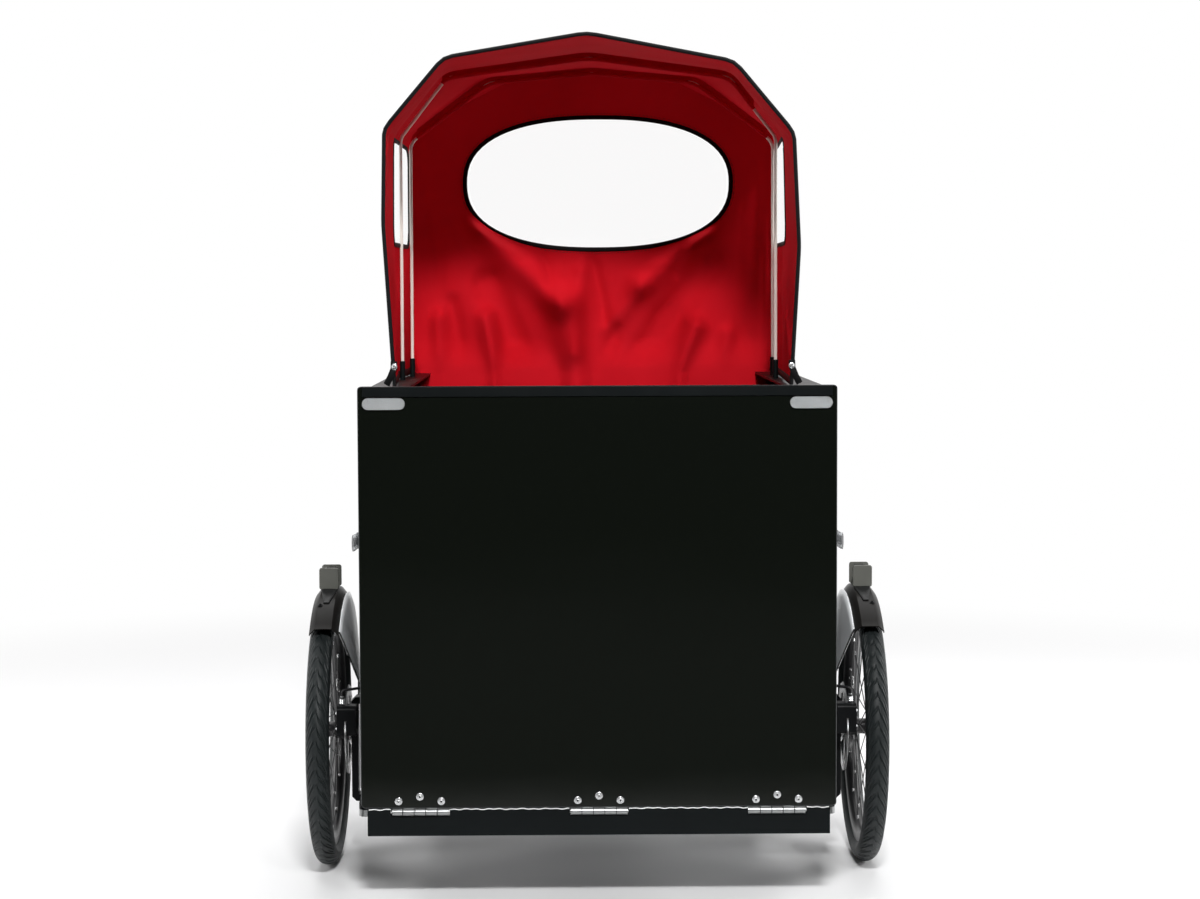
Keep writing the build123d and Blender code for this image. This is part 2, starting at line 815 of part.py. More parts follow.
def hood_loft(inset, mode):
    """The hood's solid block, or its hollow when inset by the cloth's thickness."""
    overrun = {"front": hollow_overrun, "hoop": 0, "rear": inset}
    sections = []
    for edge, shift, foot_inset, shoulder_inset, shoulder, corner_share, corner, peak in hood_table:
        half = (
            (box_half_width - foot_inset, -hollow_drop if inset else 0),
            (box_half_width - shoulder_inset, shoulder),
            (corner_share * box_half_width, corner),
            (0, peak),
        )
        right = [(shift + x, z) for x, z in half]
        left = [(shift - x, z) for x, z in reversed(half[:-1])]
        with BuildSketch(hood_plane(edge, overrun[edge] if inset else 0)) as section:
            with BuildLine():
                Polyline(*right, *left, close=True)
            make_face()
            if inset:
                offset(amount=-inset, kind=Kind.INTERSECTION, mode=Mode.REPLACE)
        sections.append(section.sketch)
    loft(sections, ruled=True, mode=mode)


def cut_windows(grow, mode):
    """The oval rear window and a rounded window in each side, as prisms through the cloth."""
    with BuildSketch(hood_plane("rear", -well_corner / 4)) as rear:
        with Locations((rear_window_shift, rear_window_rise)):
            Ellipse(rear_window_share * box_half_width + grow, rear_window_half_height + grow)
    extrude(rear.sketch, amount=well_corner / 2, mode=mode)
    length = side_window_share * box_length
    centre_y = hood_front_y + side_window_front_share * box_length + length / 2
    for side in (1, -1):
        with BuildSketch(side_plane(side * (box_half_width - 2 * hoop_inset))) as window:
            with Locations((centre_y, hood_bottom_z + side_window_rise)):
                RectangleRounded(length + 2 * grow, side_window_height + 2 * grow, side_window_corner + grow)
        extrude(window.sketch, amount=side * 2 * hoop_inset, mode=mode)


with BuildPart() as hood_fabric:
    hood_loft(0, Mode.ADD)
    hood_loft(hood_sheet, Mode.SUBTRACT)
    cut_windows(0, Mode.SUBTRACT)
save(hood_fabric, "hood_fabric")

with BuildPart() as window_zone:
    cut_windows(-seat_gap, Mode.ADD)
with BuildPart() as hood_windows:
    hood_loft(0, Mode.ADD)
    hood_loft(window_film, Mode.SUBTRACT)
    add(window_zone.part, mode=Mode.INTERSECT)
save(hood_windows, "hood_windows")

# Front corners: knuckle, brake, mudguard, lamp and wheel on each side
front_hub = (
    (-hub_half_width, 0.5 * hub_flange_radius), (-hub_half_width, hub_flange_radius - 4),
    (4 - hub_half_width, hub_flange_radius), (6 - hub_half_width, hub_barrel_radius),
    (hub_half_width - 6, hub_barrel_radius), (hub_half_width - 4, hub_flange_radius),
    (hub_half_width, hub_flange_radius - 4), (hub_half_width, 0.5 * hub_flange_radius),
)
front_rim_outer = front_tyre_radius - front_tyre_height - seat_gap
for side_name, side in sides:
    axle = (side * front_wheel_x, front_axle_y, front_axle_z)
    kingpin = (side * kingpin_x, front_axle_y)
    with BuildPart() as knuckle:
        plate_profile(
            front_plane(front_axle_y + lug_radius),
            (
                (side * kingpin_x, lower_lug_z), (side * (web_out_x - knuckle_bevel), lower_lug_z),
                (side * web_out_x, lower_lug_z + knuckle_bevel),
                (side * web_out_x, upper_lug_top_z - knuckle_bevel),
                (side * (web_out_x - knuckle_bevel), upper_lug_top_z), (side * kingpin_x, upper_lug_top_z),
                (side * kingpin_x, upper_lug_z), (side * web_in_x, upper_lug_z),
                (side * web_in_x, lower_lug_z + lug_thickness),
                (side * kingpin_x, lower_lug_z + lug_thickness),
            ),
            2 * lug_radius,
        )
        tube((*kingpin, lower_lug_z), (*kingpin, upper_lug_top_z + lug_thickness / 2), kingpin_radius)
        for low_z in (lower_lug_z, upper_lug_z):
            tube((*kingpin, low_z), (*kingpin, low_z + lug_thickness), lug_radius)
        tube((*kingpin, kingpin_tube_top_z + fit_gap / 2), (*kingpin, upper_lug_z),
             kingpin_radius + stud_radius)
        tube((side * web_in_x, front_axle_y, front_axle_z),
             (side * (web_out_x + 2), front_axle_y, front_axle_z), axle_boss_radius)
        tube((side * web_in_x, front_axle_y, front_axle_z),
             (side * (front_wheel_x + stub_axle_reach), front_axle_y, front_axle_z), stub_axle_radius)
        eyes = [(kingpin[0], front_axle_y - arm_length)]
        if side < 0:
            eyes.append((kingpin[0] + arm_length, front_axle_y))
        for eye in eyes:
            tapered_arm(Plane.XY.offset(lower_lug_z), kingpin, arm_root_radius, eye, arm_eye_radius,
                        arm_thickness)
            tube((*eye, link_eye_z), (*eye, lower_lug_z + arm_thickness), stud_radius)
        post_x = kingpin[0] - side * kingpin_radius
        tube((post_x, front_axle_y, upper_lug_z), (post_x, front_axle_y, cable_eye_z + cable_eye_height / 2),
             cable_barrel_radius - 1)
        tube((*kingpin, cable_eye_z), (*kingpin, cable_eye_z + cable_eye_height), cable_eye_radius)
        tube((*kingpin, cable_eye_z - 1), (*kingpin, cable_eye_z + cable_eye_height + 1),
             cable_radius + seat_gap, mode=Mode.SUBTRACT)
    save(knuckle, f"knuckle_{side_name}")

    caliper_y = front_axle_y - caliper_ahead
    caliper_z = front_axle_z + caliper_rise
    caliper_top_z = caliper_z + caliper_height / 2
    with BuildPart() as brake_caliper:
        x_low = min(side * (rotor_x - caliper_inboard), side * (rotor_x + caliper_outboard))
        with BuildSketch(side_plane(x_low)):
            with Locations((caliper_y, caliper_z)):
                RectangleRounded(caliper_length, caliper_height, caliper_corner)
        extrude(amount=caliper_inboard + caliper_outboard)
        slot = rotor_thickness / 2 + caliper_gap
        tube((side * rotor_x - slot, front_axle_y, front_axle_z),
             (side * rotor_x + slot, front_axle_y, front_axle_z),
             rotor_radius + 2 * caliper_gap, mode=Mode.SUBTRACT)
        mirrored_block(
            side,
            (rotor_x - caliper_inboard, caliper_y + caliper_length / 2 - 1, caliper_z - caliper_length / 4),
            (rotor_x - slot - caliper_gap, front_axle_y - lug_radius - seat_gap,
             caliper_z + caliper_length / 4),
        )
    save(brake_caliper, f"brake_caliper_{side_name}")

    with BuildPart() as brake_cable:
        barrel_x = side * (rotor_x + 6)
        barrel_top_z = caliper_top_z + seat_gap + cable_barrel_length
        tube((barrel_x, caliper_y, caliper_top_z + seat_gap), (barrel_x, caliper_y, barrel_top_z),
             cable_barrel_radius)
        bent_rod(
            (
                (barrel_x, caliper_y, barrel_top_z - 1), (barrel_x, caliper_y, barrel_top_z + 12),
                (kingpin[0] + side * 3, front_axle_y - cable_detour, cable_eye_z - 16),
                (*kingpin, cable_eye_z - 9), (*kingpin, cable_eye_z + cable_eye_height + 4),
            ),
            cable_radius, 5.5,
        )
    save(brake_cable, f"brake_cable_{side_name}")

    with BuildPart() as fender:
        with BuildSketch(arc_plane((side * fender_x, front_axle_y, front_axle_z), fender_front_angle)):
            with BuildLine():
                Polyline(*fender_section(fender_half_width, fender_radius, fender_flat_share), close=True)
            make_face()
        revolve(axis=Axis((side * fender_x, front_axle_y, front_axle_z), (-1, 0, 0)),
                revolution_arc=180 - fender_front_angle - fender_rear_angle)
    save(fender, f"fender_{side_name}")

    with BuildPart() as fender_bracket:
        foot_z = upper_lug_top_z + seat_gap
        strap_x = web_in_x - bracket_sheet - fit_gap
        low_y = front_axle_y - bracket_half
        high_y = front_axle_y + bracket_half
        mirrored_block(side, (strap_x, low_y, foot_z),
                       (strap_x + bracket_sheet, high_y, foot_z + bracket_strap))
        mirrored_block(side, (strap_x, low_y, foot_z), (web_out_x - 4, high_y, foot_z + bracket_sheet))
        apex_z = foot_z + 0.7 * bracket_strap
        front_apex = (side * strap_x, low_y, apex_z)
        rear_apex = (side * strap_x, high_y, apex_z)
        edge_x = side * (fender_x - fender_half_width - seat_gap - bracket_sheet)
        edge_radius = fender_radius - fender_drop / 2
        edge_points = [
            (edge_x, front_axle_y - edge_radius * cos(radians(angle)),
             front_axle_z + edge_radius * sin(radians(angle)))
            for angle in bracket_angles
        ]
        middle = len(edge_points) // 2
        facets = [(front_apex, rear_apex, edge_points[middle])]
        for index in range(len(edge_points) - 1):
            apex = front_apex if index < middle else rear_apex
            facets.append((apex, edge_points[index], edge_points[index + 1]))
        for facet in facets:
            extrude(Face(Wire.make_polygon(facet)), amount=bracket_sheet, dir=(side, 0, 0))
    save(fender_bracket, f"fender_bracket_{side_name}")

    with BuildPart() as lamp:
        foot_z = front_axle_z + fender_radius + seat_gap
        half_depth = lamp_depth / 2
        plate_profile(
            side_plane(side * fender_x - lamp_body_width / 2),
            (
                (front_axle_y - half_depth / 2, foot_z), (front_axle_y + half_depth / 2, foot_z),
                (front_axle_y + half_depth, foot_z + lamp_plate_rise),
                (front_axle_y + half_depth, foot_z + 0.7 * lamp_height),
                (front_axle_y - half_depth, foot_z + 0.7 * lamp_height),
                (front_axle_y - half_depth, foot_z + lamp_plate_rise),
            ),
            lamp_body_width,
        )
        plate_z = foot_z + lamp_plate_rise + lamp_height / 2
        with BuildSketch(front_plane(front_axle_y - half_depth),
                         front_plane(front_axle_y + half_depth + lamp_plate)):
            with Locations((side * fender_x, plate_z)):
                RectangleRounded(lamp_width, lamp_height, lamp_corner)
        extrude(amount=lamp_plate)
    save(lamp, f"lamp_{side_name}")

    make_tyre(f"tyre_{side_name}", axle, front_tyre_radius, front_tyre_width, front_tyre_height)
    with BuildPart() as wheel:
        with BuildSketch(wheel_plane(*axle)):
            with BuildLine():
                Polyline(*rim_section(front_rim_outer, front_rim_depth, front_rim_width), close=True)
            make_face()
            with BuildLine():
                Polyline((-hub_half_width, stub_axle_radius + fit_gap), *front_hub,
                         (hub_half_width, stub_axle_radius + fit_gap), close=True)
            make_face()
        revolve(axis=Axis(axle, (1, 0, 0)))
        planes, length = spoke_planes(
            axle, front_spokes, hub_flange_radius - 4, hub_half_width - 5,
            front_rim_outer - front_rim_depth + 4,
        )
        with BuildSketch(*planes):
            Rectangle(spoke_thickness, spoke_thickness)
        extrude(amount=length)
    save(wheel, f"wheel_{side_name}")

    with BuildPart() as rotor:
        with BuildSketch(side_plane(side * rotor_x - rotor_thickness / 2)):
            with Locations((front_axle_y, front_axle_z)):
                Circle(rotor_radius)
                Circle(stub_axle_radius + fit_gap, mode=Mode.SUBTRACT)
                with PolarLocations(rotor_radius * 0.5, rotor_windows):
                    Circle(rotor_radius * 0.2, mode=Mode.SUBTRACT)
        extrude(amount=rotor_thickness)
        x_ends = sorted((side * (rotor_x + rotor_thickness / 2), side * (front_wheel_x - hub_half_width)))
        with BuildSketch(side_plane(x_ends[0])):
            with Locations((front_axle_y, front_axle_z)):
                Circle(rotor_carrier_radius)
                Circle(stub_axle_radius + fit_gap, mode=Mode.SUBTRACT)
        extrude(amount=x_ends[1] - x_ends[0])
    save(rotor, f"rotor_{side_name}")

# Brake cables' fixed ends, from the kingpins' axes into the walls of the wheel wells
with BuildPart() as cable_entries:
    for side in (1, -1):
        start_z = cable_eye_z + cable_eye_height + 4 + seat_gap
        entry_z = upper_lug_top_z + cable_entry_rise
        bent_rod(
            (
                (side * kingpin_x, front_axle_y, start_z), (side * kingpin_x, front_axle_y, entry_z),
                (side * (well_x + seat_gap), front_axle_y, entry_z + 6),
            ),
            cable_radius, 20,
        )
save(cable_entries, "cable_entries")

# Tie rod between the two knuckle arms, and drag link from the column's arm to the right knuckle
column_eye = (arm_length, column_y)
drag_eye = (arm_length - kingpin_x, front_axle_y)
tie_eyes = ((kingpin_x, front_axle_y - arm_length), (-kingpin_x, front_axle_y - arm_length))
for label, eyes in (("tie_rod", tie_eyes), ("drag_link", (column_eye, drag_eye))):
    with BuildPart() as link:
        tube((*eyes[0], link_mid_z), (*eyes[1], link_mid_z), link_radius)
        for eye in eyes:
            tube((*eye, link_eye_z), (*eye, link_eye_z + link_eye_height), link_eye_radius)
            tube((*eye, link_eye_z - link_play), (*eye, link_eye_z + link_eye_height + link_play),
                 stud_radius + fit_gap, mode=Mode.SUBTRACT)
    save(link, label)

# Handlebar: column with its lower arm, stem and swept bar
bar_tips = {}
bar_backs = {}
with BuildPart() as handlebar:
    tube((0, column_y, lower_lug_z), (0, column_y, column_top_z), column_radius)
    tapered_arm(Plane.XY.offset(lower_lug_z), (0, column_y), head_tube_radius - 2, column_eye,
                arm_eye_radius, arm_thickness)
    tube((*column_eye, link_eye_z), (*column_eye, lower_lug_z + arm_thickness), stud_radius)
    tube((0, column_y, column_top_z - stem_radius), (0, column_y, bar_z), stem_radius)
    tube((-stem_clamp_half, column_y, bar_z), (stem_clamp_half, column_y, bar_z), stem_clamp_radius)
    for side in (1, -1):
        bend_point = Vector(side * 0.82 * bar_half_width, column_y + bar_reach / 3, bar_z + bar_rise)
        bar_tips[side] = Vector(side * bar_half_width, column_y + bar_reach, bar_z + bar_rise - 5)
        bar_backs[side] = (bend_point - bar_tips[side]).normalized()
        bent_rod(
            (
                (0, column_y, bar_z), (side * 0.37 * bar_half_width, column_y, bar_z),
                tuple(bend_point), tuple(bar_tips[side]),
            ),
            bar_radius, bar_bend,
        )
save(handlebar, "handlebar")

with BuildPart() as grips:
    for side in (1, -1):
        tip = bar_tips[side]
        back = bar_backs[side]
        start = tip + back * (grip_length - 2 * grip_end)
        palm = tip + back * grip_length / 3
        tube(tuple(start), tuple(tip - back * grip_end), grip_radius)
        tube(tuple(palm + back * 12), tuple(palm - back * 12), grip_radius + 2)
        tube(tuple(start), tuple(start - back * 5), grip_radius + 4)
        tube(tuple(start + back * 5), tuple(tip - back * seat_gap), bar_radius + seat_gap,
             mode=Mode.SUBTRACT)
save(grips, "grips")

with BuildPart() as brake_levers:
    for side in (1, -1):
        back = bar_backs[side]
        outward = Vector(-back.Y, back.X, 0) * side
        clamp = bar_tips[side] + back * (grip_length - 2 * grip_end + 7)
        lever_root = clamp + outward * (lever_clamp_radius + 13)
        lever_tip = lever_root - back * lever_length + outward * 14
        tube(tuple(clamp - back * 6), tuple(clamp + back * 6), lever_clamp_radius)
        tube(tuple(clamp), tuple(lever_root), lever_radius + 1)
        tube(tuple(lever_root + back * 4), tuple(lever_tip), lever_radius)
        tube(tuple(clamp - back * 30), tuple(clamp + back * 30), bar_radius + seat_gap, mode=Mode.SUBTRACT)
save(brake_levers, "brake_levers")

# Saddle and its post
post_foot = bore_start + seat_axis * seat_gap
post_top = bore_start + seat_axis * seat_post_length
clamp_half_x, clamp_half_y, clamp_height = seat_clamp
with BuildPart() as seat_post:
    tube(tuple(post_foot), tuple(post_top), seat_post_radius)
    block((-clamp_half_x, post_top.Y - clamp_half_y, post_top.Z - clamp_height / 3),
          (clamp_half_x, post_top.Y + clamp_half_y, post_top.Z + clamp_height / 1.5))
save(seat_post, "seat_post")

saddle_top_z = post_top.Z + clamp_height / 1.5 + seat_gap + saddle_height
with BuildPart() as saddle:
    for behind, half_width, height, drop in saddle_table:
        with BuildSketch(front_plane(post_top.Y + behind)):
            with Locations((0, saddle_top_z - drop - height / 2)):
                RectangleRounded(2 * half_width, height, saddle_corner * min(2 * half_width, height))
    loft(ruled=True)
save(saddle, "saddle")

# Rear wheel
make_tyre("tyre_rear", rear_axle, rear_tyre_radius, rear_tyre_width, rear_tyre_height)
motor_half = motor_width / 2
with BuildPart() as hub_motor:
    with BuildSketch(wheel_plane(*rear_axle)):
        with BuildLine():
            Polyline(
                (-motor_half, stub_axle_radius + fit_gap), (-motor_half, motor_radius - motor_edge),
                (motor_edge / 2 - motor_half, motor_radius), (motor_half - motor_edge / 2, motor_radius),
                (motor_half, motor_radius - motor_edge), (motor_half, stub_axle_radius + fit_gap),
                close=True,
            )
        make_face()
    revolve(axis=Axis(rear_axle, (1, 0, 0)))
    sprocket_radius = rear_pitch_radius - chain_height / 2 - 1.5
    tube((chain_x - 2, rear_axle_y, rear_axle_z), (-motor_half, rear_axle_y, rear_axle_z), sprocket_radius)
    tube((-dropout_x, rear_axle_y, rear_axle_z), (dropout_x, rear_axle_y, rear_axle_z),
         stub_axle_radius + fit_gap, mode=Mode.SUBTRACT)
save(hub_motor, "hub_motor")

with BuildPart() as wheel_rear:
    rim_outer = rear_tyre_radius - rear_tyre_height - seat_gap
    with BuildSketch(wheel_plane(*rear_axle)):
        with BuildLine():
            Polyline(*rim_section(rim_outer, rear_rim_depth, rear_rim_width), close=True)
        make_face()
    revolve(axis=Axis(rear_axle, (1, 0, 0)))
    planes, length = spoke_planes(
        rear_axle, rear_spokes, motor_radius + 4, motor_flange_x, rim_outer - rear_rim_depth + 4)
    with BuildSketch(*planes):
        Rectangle(spoke_thickness, spoke_thickness)
    extrude(amount=length)
    for flange_x in (motor_flange_x, -motor_flange_x):
        with BuildSketch(side_plane(flange_x - rim_taper / 2)):
            with Locations((rear_axle_y, rear_axle_z)):
                Circle(motor_radius + motor_flange_rise)
                Circle(motor_radius + seat_gap, mode=Mode.SUBTRACT)
        extrude(amount=rim_taper)
save(wheel_rear, "wheel_rear")

with BuildPart() as rear_axle_pin:
    tube((-dropout_outer - axle_nut_length - 3, rear_axle_y, rear_axle_z),
         (dropout_outer + axle_nut_length + 3, rear_axle_y, rear_axle_z), stub_axle_radius)
    for side in (1, -1):
        near = dropout_outer + seat_gap
        with BuildSketch(side_plane(side * near)):
            with Locations((rear_axle_y, rear_axle_z)):
                RegularPolygon(axle_nut_radius, 6)
        extrude(amount=side * axle_nut_length)
save(rear_axle_pin, "rear_axle")

# Rear mudguard with its stays and the strut to the seat stays' cross tube
with BuildPart() as rear_fender:
    with BuildSketch(arc_plane(rear_axle, rear_fender_front_angle)):
        with BuildLine():
            Polyline(*fender_section(rear_fender_half_width, rear_fender_radius, 0.7), close=True)
        make_face()
    revolve(axis=Axis(rear_axle, (-1, 0, 0)),
            revolution_arc=180 - rear_fender_front_angle - rear_fender_rear_angle)
    stay_angle = radians(10)
    stay_end = (rear_axle_y + (rear_fender_radius - fender_drop / 2) * cos(stay_angle),
                rear_axle_z + (rear_fender_radius - fender_drop / 2) * sin(stay_angle))
    stay_start = (rear_axle_y + 14, rear_axle_z - 12)
    for side in (1, -1):
        tube((side * (dropout_outer + 5), *stay_start), (side * (rear_fender_half_width - 3), *stay_end),
             fender_stay_radius)
        tube((side * (dropout_outer + seat_gap), *stay_start), (side * (dropout_outer + 8), *stay_start),
             2 * fender_stay_radius)
    strut = (cluster - Vector(*rear_axle)).normalized()
    strut_reach = (seat_tube_radius + seat_gap + fender_stay_radius) / strut.cross(seat_axis).length
    tube(tuple(Vector(*rear_axle) + strut * (rear_fender_radius - fender_sheet)),
         tuple(cluster - strut * strut_reach), fender_stay_radius)
save(rear_fender, "rear_fender")

carrier_z = rear_axle_z + rear_fender_radius + carrier_rise
carrier_front_y = rear_axle_y - carrier_front
carrier_rear_y = rear_axle_y + carrier_rear
with BuildPart() as rear_carrier:
    leg_x = carrier_half_width + 12
    leg_foot = (rear_axle_y + 14, rear_axle_z + 30)
    for side in (1, -1):
        rail_x = side * carrier_half_width
        tube((rail_x, carrier_front_y, carrier_z), (rail_x, carrier_rear_y, carrier_z), carrier_rail_radius)
        tube((side * leg_x, rear_axle_y + 20, carrier_z), (side * leg_x, *leg_foot), carrier_bar_radius)
        tube((rail_x, rear_axle_y + 20, carrier_z), (side * (leg_x + 4), rear_axle_y + 20, carrier_z),
             carrier_bar_radius + 0.5)
        mirrored_block(side, (dropout_outer + seat_gap, rear_axle_y + 6, rear_axle_z + 16),
                       (dropout_outer + 16, rear_axle_y + 22, rear_axle_z + 34))
        tube((rail_x, carrier_front_y, carrier_z),
             (side * (seat_tube_radius + 3), seat_top.Y + 8, carrier_z - 54), carrier_bar_radius)
    for index in range(carrier_bars):
        bar_y = carrier_front_y + index * (carrier_front + carrier_rear) / (carrier_bars - 1)
        tube((-carrier_half_width, bar_y, carrier_z), (carrier_half_width, bar_y, carrier_z),
             carrier_bar_radius)
save(rear_carrier, "rear_carrier")

with BuildPart() as battery:
    battery_top_z = carrier_z - carrier_bar_radius - seat_gap
    block((-battery_half_width, carrier_front_y + 10, battery_top_z - battery_height),
          (battery_half_width, carrier_rear_y - 10, battery_top_z))
    fillet(battery.edges().filter_by(Axis.Y), battery_corner)
save(battery, "battery")

with BuildPart() as rear_lamp:
    lamp_front_y = carrier_rear_y + carrier_bar_radius + seat_gap
    block((-lamp_box[0] / 2, lamp_front_y, carrier_z + 6 - lamp_box[2]),
          (lamp_box[0] / 2, lamp_front_y + lamp_box[1], carrier_z + 6))
    fillet(rear_lamp.edges().filter_by(Axis.Y), lamp_box_corner)
save(rear_lamp, "rear_lamp")

# Cranks with the chainwheel, and pedals
with BuildPart() as crankset:
    tube((-crank_x - 10, bracket_y, bracket_z), (crank_x + 10, bracket_y, bracket_z), crank_axle_radius)
    with BuildSketch(side_plane(chain_x - chainwheel_thickness / 2)):
        with Locations((bracket_y, bracket_z)):
            Circle(wheel_pitch_radius - chain_height / 2 - 0.5)
            with PolarLocations(wheel_pitch_radius * 0.55, chainwheel_windows):
                Circle(wheel_pitch_radius * 0.2, mode=Mode.SUBTRACT)
    extrude(amount=chainwheel_thickness)
    for side in (1, -1):
        tapered_arm(
            side_plane(side * crank_x - crank_thickness / 2),
            (bracket_y, bracket_z), crank_root_radius,
            (bracket_y - side * crank_length, bracket_z), crank_eye_radius, crank_thickness,
        )
save(crankset, "crankset")

with BuildPart() as pedals:
    near = crank_x + crank_thickness / 2 + seat_gap
    for side in (1, -1):
        pedal_y = bracket_y - side * crank_length
        width, length, height = pedal_size
        inner_x = near + pedal_standoff
        mirrored_block(side, (inner_x, pedal_y - length / 2, bracket_z - height / 2),
                       (inner_x + width, pedal_y + length / 2, bracket_z + height / 2))
        for gap_y in (pedal_y - length / 4, pedal_y + length / 4):
            mirrored_block(side, (inner_x + 12, gap_y - 12, bracket_z - height),
                           (inner_x + width - 12, gap_y + 12, bracket_z + height), mode=Mode.SUBTRACT)
        tube((side * near, pedal_y, bracket_z), (side * (inner_x + 2), pedal_y, bracket_z),
             pedal_axle_radius)
save(pedals, "pedals")

# Chain: one closed loop of links round the two toothed wheels
span = Vector(0, rear_axle_y - bracket_y, rear_axle_z - bracket_z)
slope = atan2(span.Z, span.Y)
spread = asin((wheel_pitch_radius - rear_pitch_radius) / span.length)
straight = sqrt(span.length ** 2 - (wheel_pitch_radius - rear_pitch_radius) ** 2)
front_arc = (pi + 2 * spread) * wheel_pitch_radius
rear_arc = (pi - 2 * spread) * rear_pitch_radius
loop_length = 2 * straight + front_arc + rear_arc
link_count = 2 * round(loop_length / chain_pitch / 2)


def rim_point(centre, radius, angle):
    """A point of a pitch circle in the chain's plane."""
    return Vector(chain_x, centre[0] + radius * cos(angle), centre[1] + radius * sin(angle))


def chain_point(distance):
    """A point on the loop, measured from the top of the chainwheel rearwards."""
    front = (bracket_y, bracket_z)
    rear = (rear_axle_y, rear_axle_z)
    top = slope + pi / 2 - spread
    low = slope - pi / 2 + spread
    distance = distance % loop_length
    if distance < straight:
        start = rim_point(front, wheel_pitch_radius, top)
        return start + (rim_point(rear, rear_pitch_radius, top) - start) * (distance / straight)
    distance -= straight
    if distance < rear_arc:
        return rim_point(rear, rear_pitch_radius, top - distance / rear_pitch_radius)
    distance -= rear_arc
    if distance < straight:
        start = rim_point(rear, rear_pitch_radius, low)
        return start + (rim_point(front, wheel_pitch_radius, low) - start) * (distance / straight)
    distance -= straight
    return rim_point(front, wheel_pitch_radius, low - distance / wheel_pitch_radius)


link_step = loop_length / link_count
link_planes = ([], [])
for index in range(link_count):
    start = chain_point(index * link_step)
    end = chain_point((index + 1) * link_step)
    link_planes[index % 2].append(Plane(origin=start, x_dir=(1, 0, 0), z_dir=end - start))
with BuildPart() as chain:
    with BuildSketch(*link_planes[0]):
        Rectangle(chain_width, chain_height)
    extrude(amount=link_step)
    with BuildSketch(*link_planes[1]):
        Rectangle(chain_width / 2, chain_height * 0.8)
    extrude(amount=link_step)
save(chain, "chain")

# Guard over the chain's upper run, with a tab to the seat tube
with BuildPart() as chain_guard:
    guard_x = chain_x - chain_width / 2 - guard_gap
    top_front = bracket_z + wheel_pitch_radius + guard_rise
    top_rear = rear_axle_z + rear_pitch_radius + guard_rise
    guard_end = rear_axle_y - 1.2 * motor_half - rear_pitch_radius
    plate_profile(
        side_plane(guard_x - guard_thickness),
        (
            (bracket_y - wheel_pitch_radius - 16, bracket_z + 10),
            (bracket_y - wheel_pitch_radius * 0.6, top_front - 8), (bracket_y + 20, top_front),
            (guard_end, top_rear), (guard_end, top_rear - guard_depth),
            (bracket_y + 60, top_front - 46), (bracket_y - 40, bracket_z + 50),
            (bracket_y - 70, bracket_z + 10),
        ),
        guard_thickness,
    )
    tab_z = bracket_z + wheel_pitch_radius + 15
    tab_y = bracket_y + (tab_z - bracket_z) * seat_axis.Y / seat_axis.Z
    tube((guard_x, tab_y, tab_z), (-seat_tube_radius - seat_gap, tab_y, tab_z), 4)
save(chain_guard, "chain_guard")
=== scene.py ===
import json
import math

import bmesh
import bpy
from mathutils import Matrix, Vector, noise


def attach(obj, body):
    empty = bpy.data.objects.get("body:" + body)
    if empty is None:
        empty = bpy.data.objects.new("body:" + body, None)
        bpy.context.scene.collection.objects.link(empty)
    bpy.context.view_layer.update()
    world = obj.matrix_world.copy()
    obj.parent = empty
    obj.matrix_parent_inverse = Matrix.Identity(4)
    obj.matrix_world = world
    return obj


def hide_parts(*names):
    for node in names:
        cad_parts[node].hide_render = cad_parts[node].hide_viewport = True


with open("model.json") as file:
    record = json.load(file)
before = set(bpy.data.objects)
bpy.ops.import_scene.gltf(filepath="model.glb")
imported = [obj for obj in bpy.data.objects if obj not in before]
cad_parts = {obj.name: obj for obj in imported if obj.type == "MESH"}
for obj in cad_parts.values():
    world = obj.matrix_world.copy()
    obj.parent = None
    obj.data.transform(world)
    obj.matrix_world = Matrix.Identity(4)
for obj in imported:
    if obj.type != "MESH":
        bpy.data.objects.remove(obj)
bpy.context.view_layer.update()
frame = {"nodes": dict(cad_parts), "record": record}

nodes = frame["nodes"]

# Camera, as the photograph was taken: place, turn and lens in the photograph's 1200 x 899 frame
PHOTO_WIDTH = 1200
CAMERA_PLACE = Vector((-0.0493, -5.0762, 1.047))
CAMERA_PITCH = -0.06693
CAMERA_YAW = -0.01303
CAMERA_ROLL = -0.00369
FOCAL_PIXELS = 2455.5
SENSOR_WIDTH = 36.0


def make_camera():
    """The camera of the photograph."""
    data = bpy.data.cameras.new("camera")
    camera = bpy.data.objects.new("camera", data)
    bpy.context.scene.collection.objects.link(camera)
    data.sensor_width = SENSOR_WIDTH
    data.lens = FOCAL_PIXELS * SENSOR_WIDTH / PHOTO_WIDTH
    data.clip_end = 60
    turn = Matrix.Rotation(CAMERA_YAW, 3, "Z")
    right = turn @ Vector((1, 0, 0))
    ahead = turn @ Vector((0, 1, 0))
    forward = ahead * math.cos(CAMERA_PITCH) + Vector((0, 0, 1)) * math.sin(CAMERA_PITCH)
    up = right.cross(forward)
    rolled_right = right * math.cos(CAMERA_ROLL) + up * math.sin(CAMERA_ROLL)
    rolled_up = up * math.cos(CAMERA_ROLL) - right * math.sin(CAMERA_ROLL)
    basis = Matrix((rolled_right, rolled_up, -forward)).transposed()
    camera.matrix_world = Matrix.Translation(CAMERA_PLACE) @ basis.to_4x4()
    bpy.context.scene.camera = camera


# Node helpers


